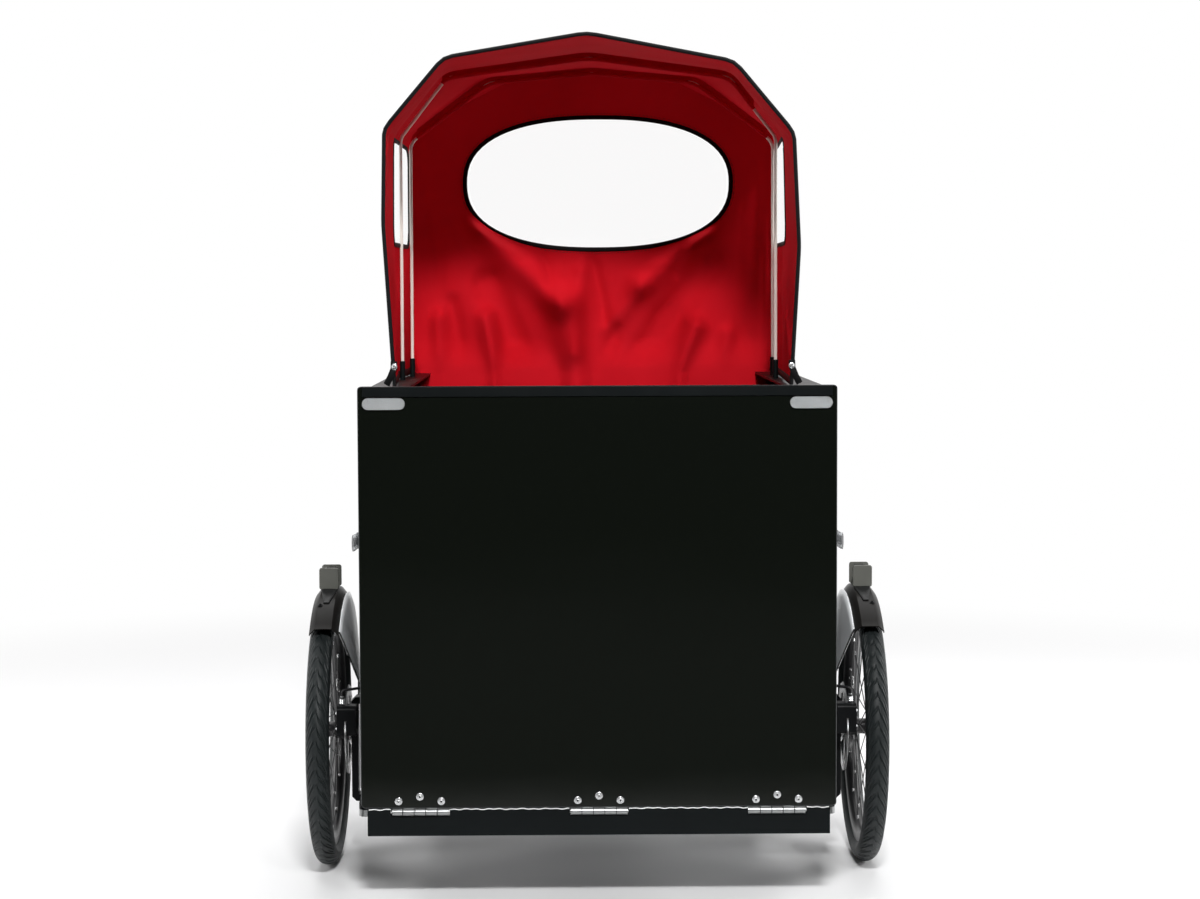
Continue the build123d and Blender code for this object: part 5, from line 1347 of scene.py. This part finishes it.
def make_latches():
    """Draw latches: base plate with rivets, wire bail and a curled lever."""
    plates, wires = Piece(), Piece()
    for side in (1, -1):
        wall = side * WALL_FACE_X
        plates.slab(rounded(0.023, 0.025, 0.005, 5), (wall, -0.955, LATCH_Z),
                    (0, side, 0), (0, 0, 1), 0.003, 0.0008)
        plates.slab(rounded(0.0175, 0.0115, 0.004, 5), (wall + side * 0.0025, -0.950, LATCH_Z),
                    (0, side, 0), (0, 0, 1), 0.014, 0.003)
        plates.tube([(wall + side * out, y, LATCH_Z) for out, y in LATCH_LEVER],
                    0.014, 12, flat=0.13, up=(1, 0, 0))
        for y, rise in LATCH_RIVETS:
            plates.screw((wall + side * 0.003, y, LATCH_Z + rise), (side, 0, 0), 0.0026)
        for rise in (-LATCH_BAIL_HALF, LATCH_BAIL_HALF):
            wires.tube([(wall + side * out, y, LATCH_Z + rise) for out, y in LATCH_BAIL], 0.0012, 8)
        out, y = LATCH_BAIL[-1]
        wires.tube([(wall + side * out, y, LATCH_Z + rise) for rise in (-LATCH_BAIL_HALF, LATCH_BAIL_HALF)],
                   0.0012, 8)
        wires.turned((wall + side * 0.0125, -0.944, LATCH_Z - 0.0155), (0, 0, 1), LATCH_PIN, 12)
    made = plates.make("latch_plates", "root", "chrome_trim")
    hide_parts("box_latches")
    wires.make("latch_wires", "root", "chrome_trim")


# Saddle, grips and the rider's end

SADDLE_TOP_Z = 0.921
# Each section: y, half width, depth, drop of its top
SADDLE_SECTIONS = (
    (0.2235, 0.006, 0.014, 0.0165), (0.227, 0.0125, 0.024, 0.0120), (0.235, 0.0160, 0.030, 0.0095),
    (0.262, 0.0205, 0.036, 0.0075), (0.300, 0.0290, 0.040, 0.0060), (0.340, 0.0420, 0.043, 0.0060),
    (0.375, 0.0600, 0.046, 0.0060), (0.410, 0.0800, 0.050, 0.0045), (0.445, 0.0930, 0.053, 0.0020),
    (0.475, 0.0970, 0.054, 0.0005), (0.492, 0.0900, 0.049, 0.0030), (0.500, 0.0740, 0.040, 0.0085),
    (0.5025, 0.0550, 0.028, 0.0150),
)


SADDLE_SIDES = 40
SADDLE_CROWN = 0.42
# The long dip at its middle: depth, half width, first y, and the length of its fade
SADDLE_DIP = (0.006, 0.012, 0.26, 0.06)
SADDLE_RAIL = ((0.010, 0.262, 0.874), (0.018, 0.310, 0.868), (0.022, 0.375, 0.8655), (0.026, 0.420, 0.868),
               (0.030, 0.455, 0.880))


def saddle_ring(y, half, depth, drop):
    """A crowned section: full over the top, with a long dip at its middle, flatter below."""
    top = SADDLE_TOP_Z - drop
    dip, dip_half, dip_start, dip_fade = SADDLE_DIP
    row = []
    for index in range(SADDLE_SIDES):
        angle = 2 * math.pi * index / SADDLE_SIDES
        across, rise = math.cos(angle), math.sin(angle)
        x = half * math.copysign(abs(across) ** 0.75, across)
        if rise >= 0:
            z = top - depth * SADDLE_CROWN + depth * SADDLE_CROWN * rise ** 0.7
            groove = dip * math.exp(-(x / dip_half) ** 2) * min(1.0, max(0.0, (y - dip_start) / dip_fade))
            z -= groove * rise
        else:
            z = top - depth * SADDLE_CROWN - depth * (1 - SADDLE_CROWN) * abs(rise) ** 0.55
        row.append(Vector((x, y, z)))
    return row


def make_saddle():
    """The padded cover with its seams and stitches, and the rails below."""
    rings = []
    for near, far in zip(SADDLE_SECTIONS, SADDLE_SECTIONS[1:]):
        steps = 3 if far[0] - near[0] > 0.01 else 1
        for step in range(steps):
            rings.append(saddle_ring(*(mix(a, b, step / steps) for a, b in zip(near, far))))
    rings.append(saddle_ring(*SADDLE_SECTIONS[-1]))
    cover = Piece()
    cover.skin(rings, capped=True)
    saddle = cover.make("saddle_cover", "root", "saddle_cover", sharp=70)
    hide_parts("saddle")
    subdivide(saddle)

    seams, stitches = Piece(), Piece()
    for index in (0, SADDLE_SIDES // 2):
        line = [row[index] + Vector((math.copysign(0.0004, row[index].x), 0, 0)) for row in rings[2:-1]]
        seams.tube(line, 0.0013, 8)
    tail = rings[-1][0] * 0.5 + rings[-1][SADDLE_SIDES // 2] * 0.5 + Vector((0, 0.001, 0))
    seams.tube([tail, (0.03, 0.5035, 0.893)], 0.001, 6)
    for sign in (1, -1):
        line = []
        for row in rings[8:-3]:
            spot = min(row, key=lambda point: abs(point.x - sign * 0.55 * max(p.x for p in row)) - point.z)
            line.append(spot + Vector((0, 0, 0.0005)))
        line = smooth_path(line, 0.004)
        for start, end in zip(line[::2], line[1::2]):
            stitches.tube([start, end], 0.0006, 5)
    seams.make("saddle_seams", "root", "saddle_cover")
    stitches.make("saddle_stitches", "root", "saddle_cover", "thread_dark")

    rails = Piece()
    for side in (1, -1):
        rails.tube([(side * x, y, z) for x, y, z in SADDLE_RAIL], 0.0035, 10)
    rails.make("saddle_rails", "root", "saddle_cover", "chrome_trim")


BAR_TIP = Vector((0.300, 0.020, 1.040))
BAR_BEND = Vector((0.246, -0.0933, 1.045))
# A grip from its outer end: distance along it, radius
GRIP_OUTER = ((-0.006, 0.008), (-0.005, 0.0145), (-0.001, 0.0165), (0.006, 0.0172))
GRIP_INNER = ((0.0885, 0.0165), (0.090, 0.0195), (0.095, 0.0198), (0.098, 0.0190), (0.0985, 0.0125))
GRIP_RIBS = 21
GRIP_RIB_PITCH = 0.0038
COLUMN_Y = -0.150


def make_grips():
    """Ribbed grips with their end caps, and the stem's bolts."""
    grips, metal = Piece(), Piece()
    for side in (1, -1):
        tip = Vector((side * BAR_TIP.x, BAR_TIP.y, BAR_TIP.z))
        back = (Vector((side * BAR_BEND.x, BAR_BEND.y, BAR_BEND.z)) - tip).normalized()
        profile = [*GRIP_OUTER]
        for index in range(GRIP_RIBS):
            along = 0.008 + index * GRIP_RIB_PITCH
            swell = 0.0155 + 0.0025 * math.exp(-((along - 0.035) / 0.022) ** 2)
            profile += [(along, swell), (along + 0.0011, swell), (along + 0.0016, swell - 0.0009),
                        (along + 0.0032, swell - 0.0009)]
        profile += GRIP_INNER
        grips.turned(tip, back, profile, 32)
        metal.turned(tip - back * 0.0062, -back, ((0, 0.0085), (0.0008, 0.0085), (0.0014, 0.0065)), 20)
    made = grips.make("grip_sleeves", "steering", "grip_rubber", sharp=30)
    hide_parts("grips")
    metal.make("bar_end_caps", "steering", "bare_metal")

    stem = Piece()
    for x in (-0.012, 0.012):
        for shift in (-0.0185, 0.0185):
            stem.screw((x, COLUMN_Y + shift, 1.015), (0, math.copysign(1, shift), 0), 0.003)
    stem.turned((0, COLUMN_Y, 0.992), (0, 0, 1), ((0, 0.0180), (0.004, 0.0182), (0.006, 0.0172)), 28)
    stem.make("stem_bolts", "steering", "bare_metal", "chrome_trim")


# Drive: chain links, pedals, motor, battery and lamp details

BRACKET = (0.220, 0.285)
CHAIN_X = -0.050
CHAIN_PITCH = 0.0127
WHEEL_PITCH_RADIUS = 0.08497
REAR_PITCH_RADIUS = 0.03657
LINK_RADIUS = 0.0040
LINK_WAIST = 0.0030
CHAINWHEEL_TEETH = 42
# A tooth from root to tip: radius, half length, half thickness
TOOTH = ((0.0802, 0.0034, 0.0018), (0.0842, 0.0022, 0.0016), (0.0882, 0.0009, 0.0009))
CHAINWHEEL_BOLTS = 5
CHAINWHEEL_BOLT_RADIUS = 0.058
PEDAL_REACH = 0.170
PEDAL_PIN_XS = (0.098, 0.112, 0.126, 0.140, 0.154, 0.168)
PEDAL_PIN_SHIFTS = (-0.041, 0.041, 0.0)
PEDAL_PIN = ((0, 0.0024), (0.0012, 0.0021), (0.0019, 0.0012))
MOTOR_SCREWS = 8
MOTOR_SCREW_CIRCLE = 0.086
MOTOR_RIBS = (0.040, 0.056)


def chain_places():
    """Pin places round the loop, each (y, z)."""
    front, rear = Vector(BRACKET), Vector((REAR_AXLE.y, REAR_AXLE.z))
    span = rear - front
    slope = math.atan2(span.y, span.x)
    spread = math.asin((WHEEL_PITCH_RADIUS - REAR_PITCH_RADIUS) / span.length)
    straight = math.sqrt(span.length ** 2 - (WHEEL_PITCH_RADIUS - REAR_PITCH_RADIUS) ** 2)
    top, low = slope + math.pi / 2 - spread, slope - math.pi / 2 + spread
    rear_arc = (math.pi - 2 * spread) * REAR_PITCH_RADIUS
    front_arc = (math.pi + 2 * spread) * WHEEL_PITCH_RADIUS
    loop = 2 * straight + rear_arc + front_arc
    count = 2 * round(loop / CHAIN_PITCH / 2)

    def rim(centre, radius, angle):
        return centre + Vector((math.cos(angle), math.sin(angle))) * radius

    places = []
    for index in range(count):
        distance = loop * index / count
        if distance < straight:
            places.append(rim(front, WHEEL_PITCH_RADIUS, top).lerp(
                rim(rear, REAR_PITCH_RADIUS, top), distance / straight))
        elif distance < straight + rear_arc:
            places.append(rim(rear, REAR_PITCH_RADIUS, top - (distance - straight) / REAR_PITCH_RADIUS))
        elif distance < 2 * straight + rear_arc:
            places.append(rim(rear, REAR_PITCH_RADIUS, low).lerp(
                rim(front, WHEEL_PITCH_RADIUS, low), (distance - straight - rear_arc) / straight))
        else:
            angle = low - (distance - 2 * straight - rear_arc) / WHEEL_PITCH_RADIUS
            places.append(rim(front, WHEEL_PITCH_RADIUS, angle))
    return places


def make_chain():
    """Plates, pins and rollers all round the loop."""
    piece = Piece()
    places = chain_places()
    half = CHAIN_PITCH / 2
    outline = []
    for centre, start in ((half, -90), (-half, 90)):
        outline += [(centre + LINK_RADIUS * math.cos(math.radians(start + turn)),
                     LINK_RADIUS * math.sin(math.radians(start + turn))) for turn in range(0, 181, 36)]
    outline.insert(6, (0, LINK_WAIST))
    outline.append((0, -LINK_WAIST))
    for index, place in enumerate(places):
        after = places[(index + 1) % len(places)]
        along = (after - place).normalized()
        across, up = Vector((0, along.x, along.y)), Vector((0, -along.y, along.x))
        middle = (place + after) / 2
        gap = 0.0026 if index % 2 else 0.0036
        for side in (1, -1):
            origin = Vector((CHAIN_X + side * gap, middle.x, middle.y))
            piece.slab(outline, origin, across * side, up, 0.0009, 0.0002)
        piece.turned((CHAIN_X - 0.0045, place.x, place.y), (1, 0, 0), ((0, 0.0018), (0.009, 0.0018)), 8)
        piece.turned((CHAIN_X - 0.0024, place.x, place.y), (1, 0, 0), ((0, 0.0036), (0.0048, 0.0036)), 10)
    made = piece.make("chain_links", "root", "chain_steel")
    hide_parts("chain")


def make_crank_details():
    """Teeth and bolts of the chainwheel, and the pedals' reflectors and pins."""
    teeth = Piece()
    centre = Vector((CHAIN_X, *BRACKET))
    for index in range(CHAINWHEEL_TEETH):
        angle = 2 * math.pi * (index + 0.5) / CHAINWHEEL_TEETH
        along = Vector((0, math.cos(angle), math.sin(angle)))
        across = Vector((0, -math.sin(angle), math.cos(angle)))
        rows = []
        for reach, half, thick in TOOTH:
            middle = centre + along * reach
            rows.append([middle + across * a * half + Vector((b * thick, 0, 0))
                         for a, b in ((1, 1), (-1, 1), (-1, -1), (1, -1))])
        teeth.skin(rows, capped=True)
    teeth.make("chainwheel_teeth", "cranks", "crank_black", "chain_steel")

    bolts = Piece()
    for index in range(CHAINWHEEL_BOLTS):
        angle = 2 * math.pi * (index + 0.5) / CHAINWHEEL_BOLTS
        out = Vector((0, math.cos(angle), math.sin(angle)))
        bolts.screw(centre + out * CHAINWHEEL_BOLT_RADIUS - Vector((0.002, 0, 0)), (-1, 0, 0), 0.0045)
    for side in (1, -1):
        bolts.screw((side * 0.0822, *BRACKET), (side, 0, 0), 0.0065)
    bolts.make("crank_bolts", "cranks", "crank_black", "chrome_trim")

    markers, pins = Piece(), Piece()
    for side in (1, -1):
        pedal_y = BRACKET[0] - side * PEDAL_REACH
        for end in (1, -1):
            place = (side * 0.135, pedal_y + end * 0.0448, BRACKET[1])
            markers.slab(rounded(0.034, 0.0075, 0.003, 4), place, (-end, 0, 0), (0, 0, 1), 0.0025, 0.0008)
        for x in PEDAL_PIN_XS:
            for shift in PEDAL_PIN_SHIFTS:
                for rise in (1, -1):
                    place = (side * x, pedal_y + shift, BRACKET[1] + rise * 0.0128)
                    pins.turned(place, (0, 0, rise), PEDAL_PIN, 8)
    markers.make("pedal_reflectors", "cranks", "grip_rubber", "amber")
    pins.make("pedal_pins", "cranks", "grip_rubber")


def make_motor_details():
    """Screws of the hub motor's covers, and ribs on one of them."""
    motor = Piece()
    for side in (1, -1):
        for index in range(MOTOR_SCREWS):
            angle = 2 * math.pi * (index + 0.5) / MOTOR_SCREWS
            out = Vector((0, math.cos(angle), math.sin(angle)))
            place = REAR_AXLE + Vector((side * 0.0431, 0, 0)) + out * MOTOR_SCREW_CIRCLE
            motor.screw(place, (side, 0, 0), 0.003)
    motor.make("motor_screws", "rear_wheel", "motor_case", "chrome_trim")
    ribs = Piece()
    for radius in MOTOR_RIBS:
        loop = ring(REAR_AXLE + Vector((0.0430, 0, 0)), Vector((0, radius, 0)), Vector((0, 0, radius)), 60)
        ribs.tube(loop, 0.0012, 8, wrap=True, up=(1, 0, 0))
    ribs.make("motor_ribs", "rear_wheel", "motor_case")


BATTERY_HALF = (0.0621, 0.0291)
BATTERY_Z = 0.703
BATTERY_SEAM_YS = (0.470, 0.778)
# The handle: x, y
BATTERY_HANDLE = (
    (-0.030, 0.434), (-0.030, 0.424), (-0.020, 0.420), (0.020, 0.420), (0.030, 0.424), (0.030, 0.434),
)
LOCK_PLACE = (0.455, 0.712)
LOCK_PROFILE = ((0, 0.0075), (0.0015, 0.0075), (0.0022, 0.006), (0.0012, 0.005))
LENS_RIBS = 13
REAR_LAMP_HALF = (0.0402, 0.0232)


def make_battery_details():
    """Seams, grooves, handle and lock of the battery, and the rear lamp's ribs and rim."""
    seam, grip, light = Piece(), Piece(), Piece()
    outline = [Vector((a, 0, BATTERY_Z + b)) for a, b in rounded(*BATTERY_HALF, 0.012)]
    for y in BATTERY_SEAM_YS:
        seam.tube([point + Vector((0, y, 0)) for point in outline], 0.0010, 6, wrap=True, up=(0, 1, 0))
    for x in (-BATTERY_HALF[0], BATTERY_HALF[0]):
        for z in (0.690, BATTERY_Z, 0.716):
            seam.tube([(x, y, z) for y in (0.500, 0.624, 0.748)], 0.0011, 6)
    seam.make("battery_seams", "root", "battery_case")
    grip.tube([(x, y, BATTERY_Z) for x, y in BATTERY_HANDLE], 0.0045, 10)
    grip.make("battery_handle", "root", "battery_case")
    light.turned((0.0617, *LOCK_PLACE), (1, 0, 0), LOCK_PROFILE, 24)
    light.slab(rounded(0.0010, 0.0035, 0.0005, 2), (0.0629, *LOCK_PLACE),
               (0, 1, 0), (0, 0, 1), 0.0005, 0.0001)
    light.make("battery_lock", "root", "battery_case", "chrome_trim")

    lens = Piece()
    for index in range(LENS_RIBS):
        x = (index - LENS_RIBS // 2) * 0.0053
        lens.tube([(x, 0.8537, 0.704), (x, 0.8540, 0.720), (x, 0.8537, 0.736)], 0.0009, 6)
    lens.make("rear_lamp_ribs", "root", "lamp_red")
    rim_piece = Piece()
    outline = [Vector((a, 0.845, 0.720 + b)) for a, b in rounded(*REAR_LAMP_HALF, 0.010)]
    rim_piece.tube(outline, 0.0014, 8, wrap=True, up=(0, 1, 0))
    rim_piece.make("rear_lamp_rim", "root", "lamp_red", "grip_rubber")


KINGPIN_X = 0.414
KINGPIN_ENDS = ((0.1342, -1), (0.2905, 1))
KINGPIN_NUT = ((0, 0.0135), (0.0012, 0.0135), (0.0016, 0.0125))
WELD_SIDES = 96
WELD_RADIUS = 0.0243
WELD_Z = 0.4295


def make_frame_details():
    """Weld beads and nuts where the frame's tubes meet."""
    welds, nuts = Piece(), Piece()
    for side in (1, -1):
        for z, rise in KINGPIN_ENDS:
            nuts.turned((side * KINGPIN_X, FRONT_AXLE_Y, z), (0, 0, rise), KINGPIN_NUT)
        nuts.bolt((side * 0.0795, REAR_AXLE.y, REAR_AXLE.z), (side, 0, 0), 0.0055, 0.006)
    column = []
    for index in range(WELD_SIDES):
        angle = 2 * math.pi * index / WELD_SIDES
        reach = WELD_RADIUS + 0.0003 * math.sin(24 * angle)
        column.append(Vector((reach * math.cos(angle), COLUMN_Y + reach * math.sin(angle), WELD_Z)))
    welds.tube(column, 0.0012, 8, wrap=True, up=(0, 0, 1))
    nuts.make("frame_nuts", "root", "zinc")
    welds.make("frame_welds", "root", "frame_paint")


hood, hood_lines, hood_area = make_hood()
hood_trims = [
    *hood_bindings(hood_lines), hood_sleeves(), hood_hems(hood_lines), *hood_fastenings(hood_lines),
    hood_stitches(hood_lines),
]
for side_name, side in CORNERS:
    wheel_body = f"front_wheel_{side_name}"
    make_tyre(f"tread_{side_name}", f"tyre_{side_name}", wheel_body, front_axle(side), FRONT_TYRE)
    make_wire_wheel(f"wire_wheel_{side_name}", f"wheel_{side_name}", wheel_body, front_axle(side),
                    FRONT_WHEEL)
    make_rotor(f"brake_ring_{side_name}", f"rotor_{side_name}", wheel_body, side)
    make_mudguard(side_name, side)
    make_wing(side_name, side)
    make_lamp(side_name, side)
    make_corner_details(side_name, side)
make_tyre("tread_rear", "tyre_rear", "rear_wheel", REAR_AXLE, REAR_TYRE)
make_wire_wheel("wire_wheel_rear", "wheel_rear", "rear_wheel", REAR_AXLE, REAR_WHEEL)
make_door_screws()
make_hinge_lines()
make_door_trim()
make_sill_seal()
make_box_details()
make_latches()
make_saddle()
make_grips()
make_chain()
make_crank_details()
make_motor_details()
make_battery_details()
make_frame_details()


# Studio

# The floor turns to plain white between these distances from the middle
FLOOR_FADE = (1.2, 3.2)
# Painted shade: to rays other than the camera's, the floor in front of the door darkens between these two y, so
# the door reflects a dark floor and gets little bounce from it
FLOOR_PAINTED_SHADE_YS = (-1.15, -2.2)
FLOOR_PAINTED_SHADE = (0.05, 0.05, 0.05, 1)
# The room's strength in front and behind, and how far a ray turns between them
WORLD_FRONT = 0.045
WORLD_BEHIND = 0.48
WORLD_TURN = (-0.35, 0.30)
# Each light: name, place, what it looks at, size, watts
LIGHTS = (
    ("key", (0.15, -4.9, 3.45), (0, -0.25, 1.05), (0.6, 0.35), 205),
    ("key_right", (1.3, -4.6, 3.30), (0, -0.25, 1.05), (0.5, 0.4), 35),
    ("top", (0, 0.9, 3.7), (0, -0.3, 0.3), (3.6, 2.6), 95),
    ("left", (-3.4, -0.3, 1.3), (-0.3, -0.8, 0.2), (2.0, 1.8), 55),
    ("right", (3.4, -0.3, 1.3), (0.3, -0.8, 0.2), (2.0, 1.8), 80),
)


def flat_light(name, place, look_at, size, power):
    data = bpy.data.lights.new(name, "AREA")
    data.shape = "RECTANGLE"
    data.size, data.size_y = size
    data.energy = power
    lamp = bpy.data.objects.new(name, data)
    lamp.location = place
    aim = Vector(look_at) - Vector(place)
    lamp.rotation_euler = aim.to_track_quat("-Z", "Y").to_euler()
    bpy.context.scene.collection.objects.link(lamp)


def make_floor():
    """A pale floor with the object's shadow; plain white further off; in front of the door a painted shade, dark
    only to reflected and bounced rays.
    """
    bpy.ops.mesh.primitive_plane_add(size=60)
    floor = bpy.context.object
    floor.name = "studio_floor"
    shader = Shader("studio_floor")
    shader.set(Base_Color=(0.86, 0.86, 0.865), Roughness=0.75, Specular_IOR_Level=0.15)
    glow = shader.node("ShaderNodeEmission")
    glow.inputs["Color"].default_value = (1, 1, 1, 1)
    length = shader.node("ShaderNodeVectorMath", operation="LENGTH")
    shader.link(shader.coordinates, length.inputs[0])
    fade = shader.node("ShaderNodeMapRange", interpolation_type="SMOOTHSTEP")
    fade.inputs["From Min"].default_value, fade.inputs["From Max"].default_value = FLOOR_FADE
    shader.link(length.outputs["Value"], fade.inputs["Value"])
    lit = shader.node("ShaderNodeMixShader")
    shader.link(fade.outputs["Result"], lit.inputs["Fac"])
    shader.link(shader.principled.outputs["BSDF"], lit.inputs[1])
    shader.link(glow.outputs["Emission"], lit.inputs[2])

    # Painted shade: a dark floor in front of the door that only reflected and bounced rays see
    floor_painted_shade = shader.node("ShaderNodeBsdfDiffuse")
    floor_painted_shade.inputs["Color"].default_value = FLOOR_PAINTED_SHADE
    parts = shader.node("ShaderNodeSeparateXYZ")
    shader.link(shader.coordinates, parts.inputs["Vector"])
    ahead = shader.node("ShaderNodeMapRange", interpolation_type="SMOOTHSTEP")
    ahead.inputs["From Min"].default_value, ahead.inputs["From Max"].default_value = FLOOR_PAINTED_SHADE_YS
    shader.link(parts.outputs["Y"], ahead.inputs["Value"])
    path = shader.node("ShaderNodeLightPath")
    unseen = shader.math("SUBTRACT", 1.0, path.outputs["Is Camera Ray"])
    mixed = shader.node("ShaderNodeMixShader")
    shader.link(shader.math("MULTIPLY", unseen, ahead.outputs["Result"]), mixed.inputs["Fac"])
    shader.link(lit.outputs["Shader"], mixed.inputs[1])
    shader.link(floor_painted_shade.outputs["BSDF"], mixed.inputs[2])
    shader.link(mixed.outputs["Shader"], shader.output.inputs["Surface"])
    floor.data.materials.append(shader.material)


def make_world():
    """White behind the object, a dark room in front of it, and plain white to the camera."""
    world = bpy.data.worlds.new("studio")
    bpy.context.scene.world = world
    world.use_nodes = True
    tree = world.node_tree

    def add(kind, **settings):
        made = tree.nodes.new(kind)
        for key, value in settings.items():
            setattr(made, key, value)
        return made

    background = tree.nodes["Background"]
    background.inputs["Color"].default_value = (1, 1, 1, 1)
    parts = add("ShaderNodeSeparateXYZ")
    tree.links.new(add("ShaderNodeTexCoord").outputs["Generated"], parts.inputs["Vector"])
    behind = add("ShaderNodeMapRange", interpolation_type="SMOOTHSTEP")
    behind.inputs["From Min"].default_value, behind.inputs["From Max"].default_value = WORLD_TURN
    behind.inputs["To Min"].default_value = WORLD_FRONT
    behind.inputs["To Max"].default_value = WORLD_BEHIND
    tree.links.new(parts.outputs["Y"], behind.inputs["Value"])
    path = add("ShaderNodeLightPath")
    shiny = add("ShaderNodeMapRange")
    shiny.inputs["To Min"].default_value = 1.0
    shiny.inputs["To Max"].default_value = 1.0 / WORLD_BEHIND
    tree.links.new(path.outputs["Is Glossy Ray"], shiny.inputs["Value"])
    room = add("ShaderNodeMath", operation="MULTIPLY")
    tree.links.new(behind.outputs["Result"], room.inputs[0])
    tree.links.new(shiny.outputs["Result"], room.inputs[1])
    seen = add("ShaderNodeMath", operation="MAXIMUM")
    tree.links.new(path.outputs["Is Camera Ray"], seen.inputs[0])
    tree.links.new(path.outputs["Is Transmission Ray"], seen.inputs[1])
    strength = add("ShaderNodeMath", operation="MAXIMUM")
    tree.links.new(seen.outputs["Value"], strength.inputs[0])
    tree.links.new(room.outputs["Value"], strength.inputs[1])
    tree.links.new(strength.outputs["Value"], background.inputs["Strength"])


make_camera()
make_floor()
make_world()
for light in LIGHTS:
    flat_light(*light)
bpy.context.scene.view_settings.view_transform = "Standard"
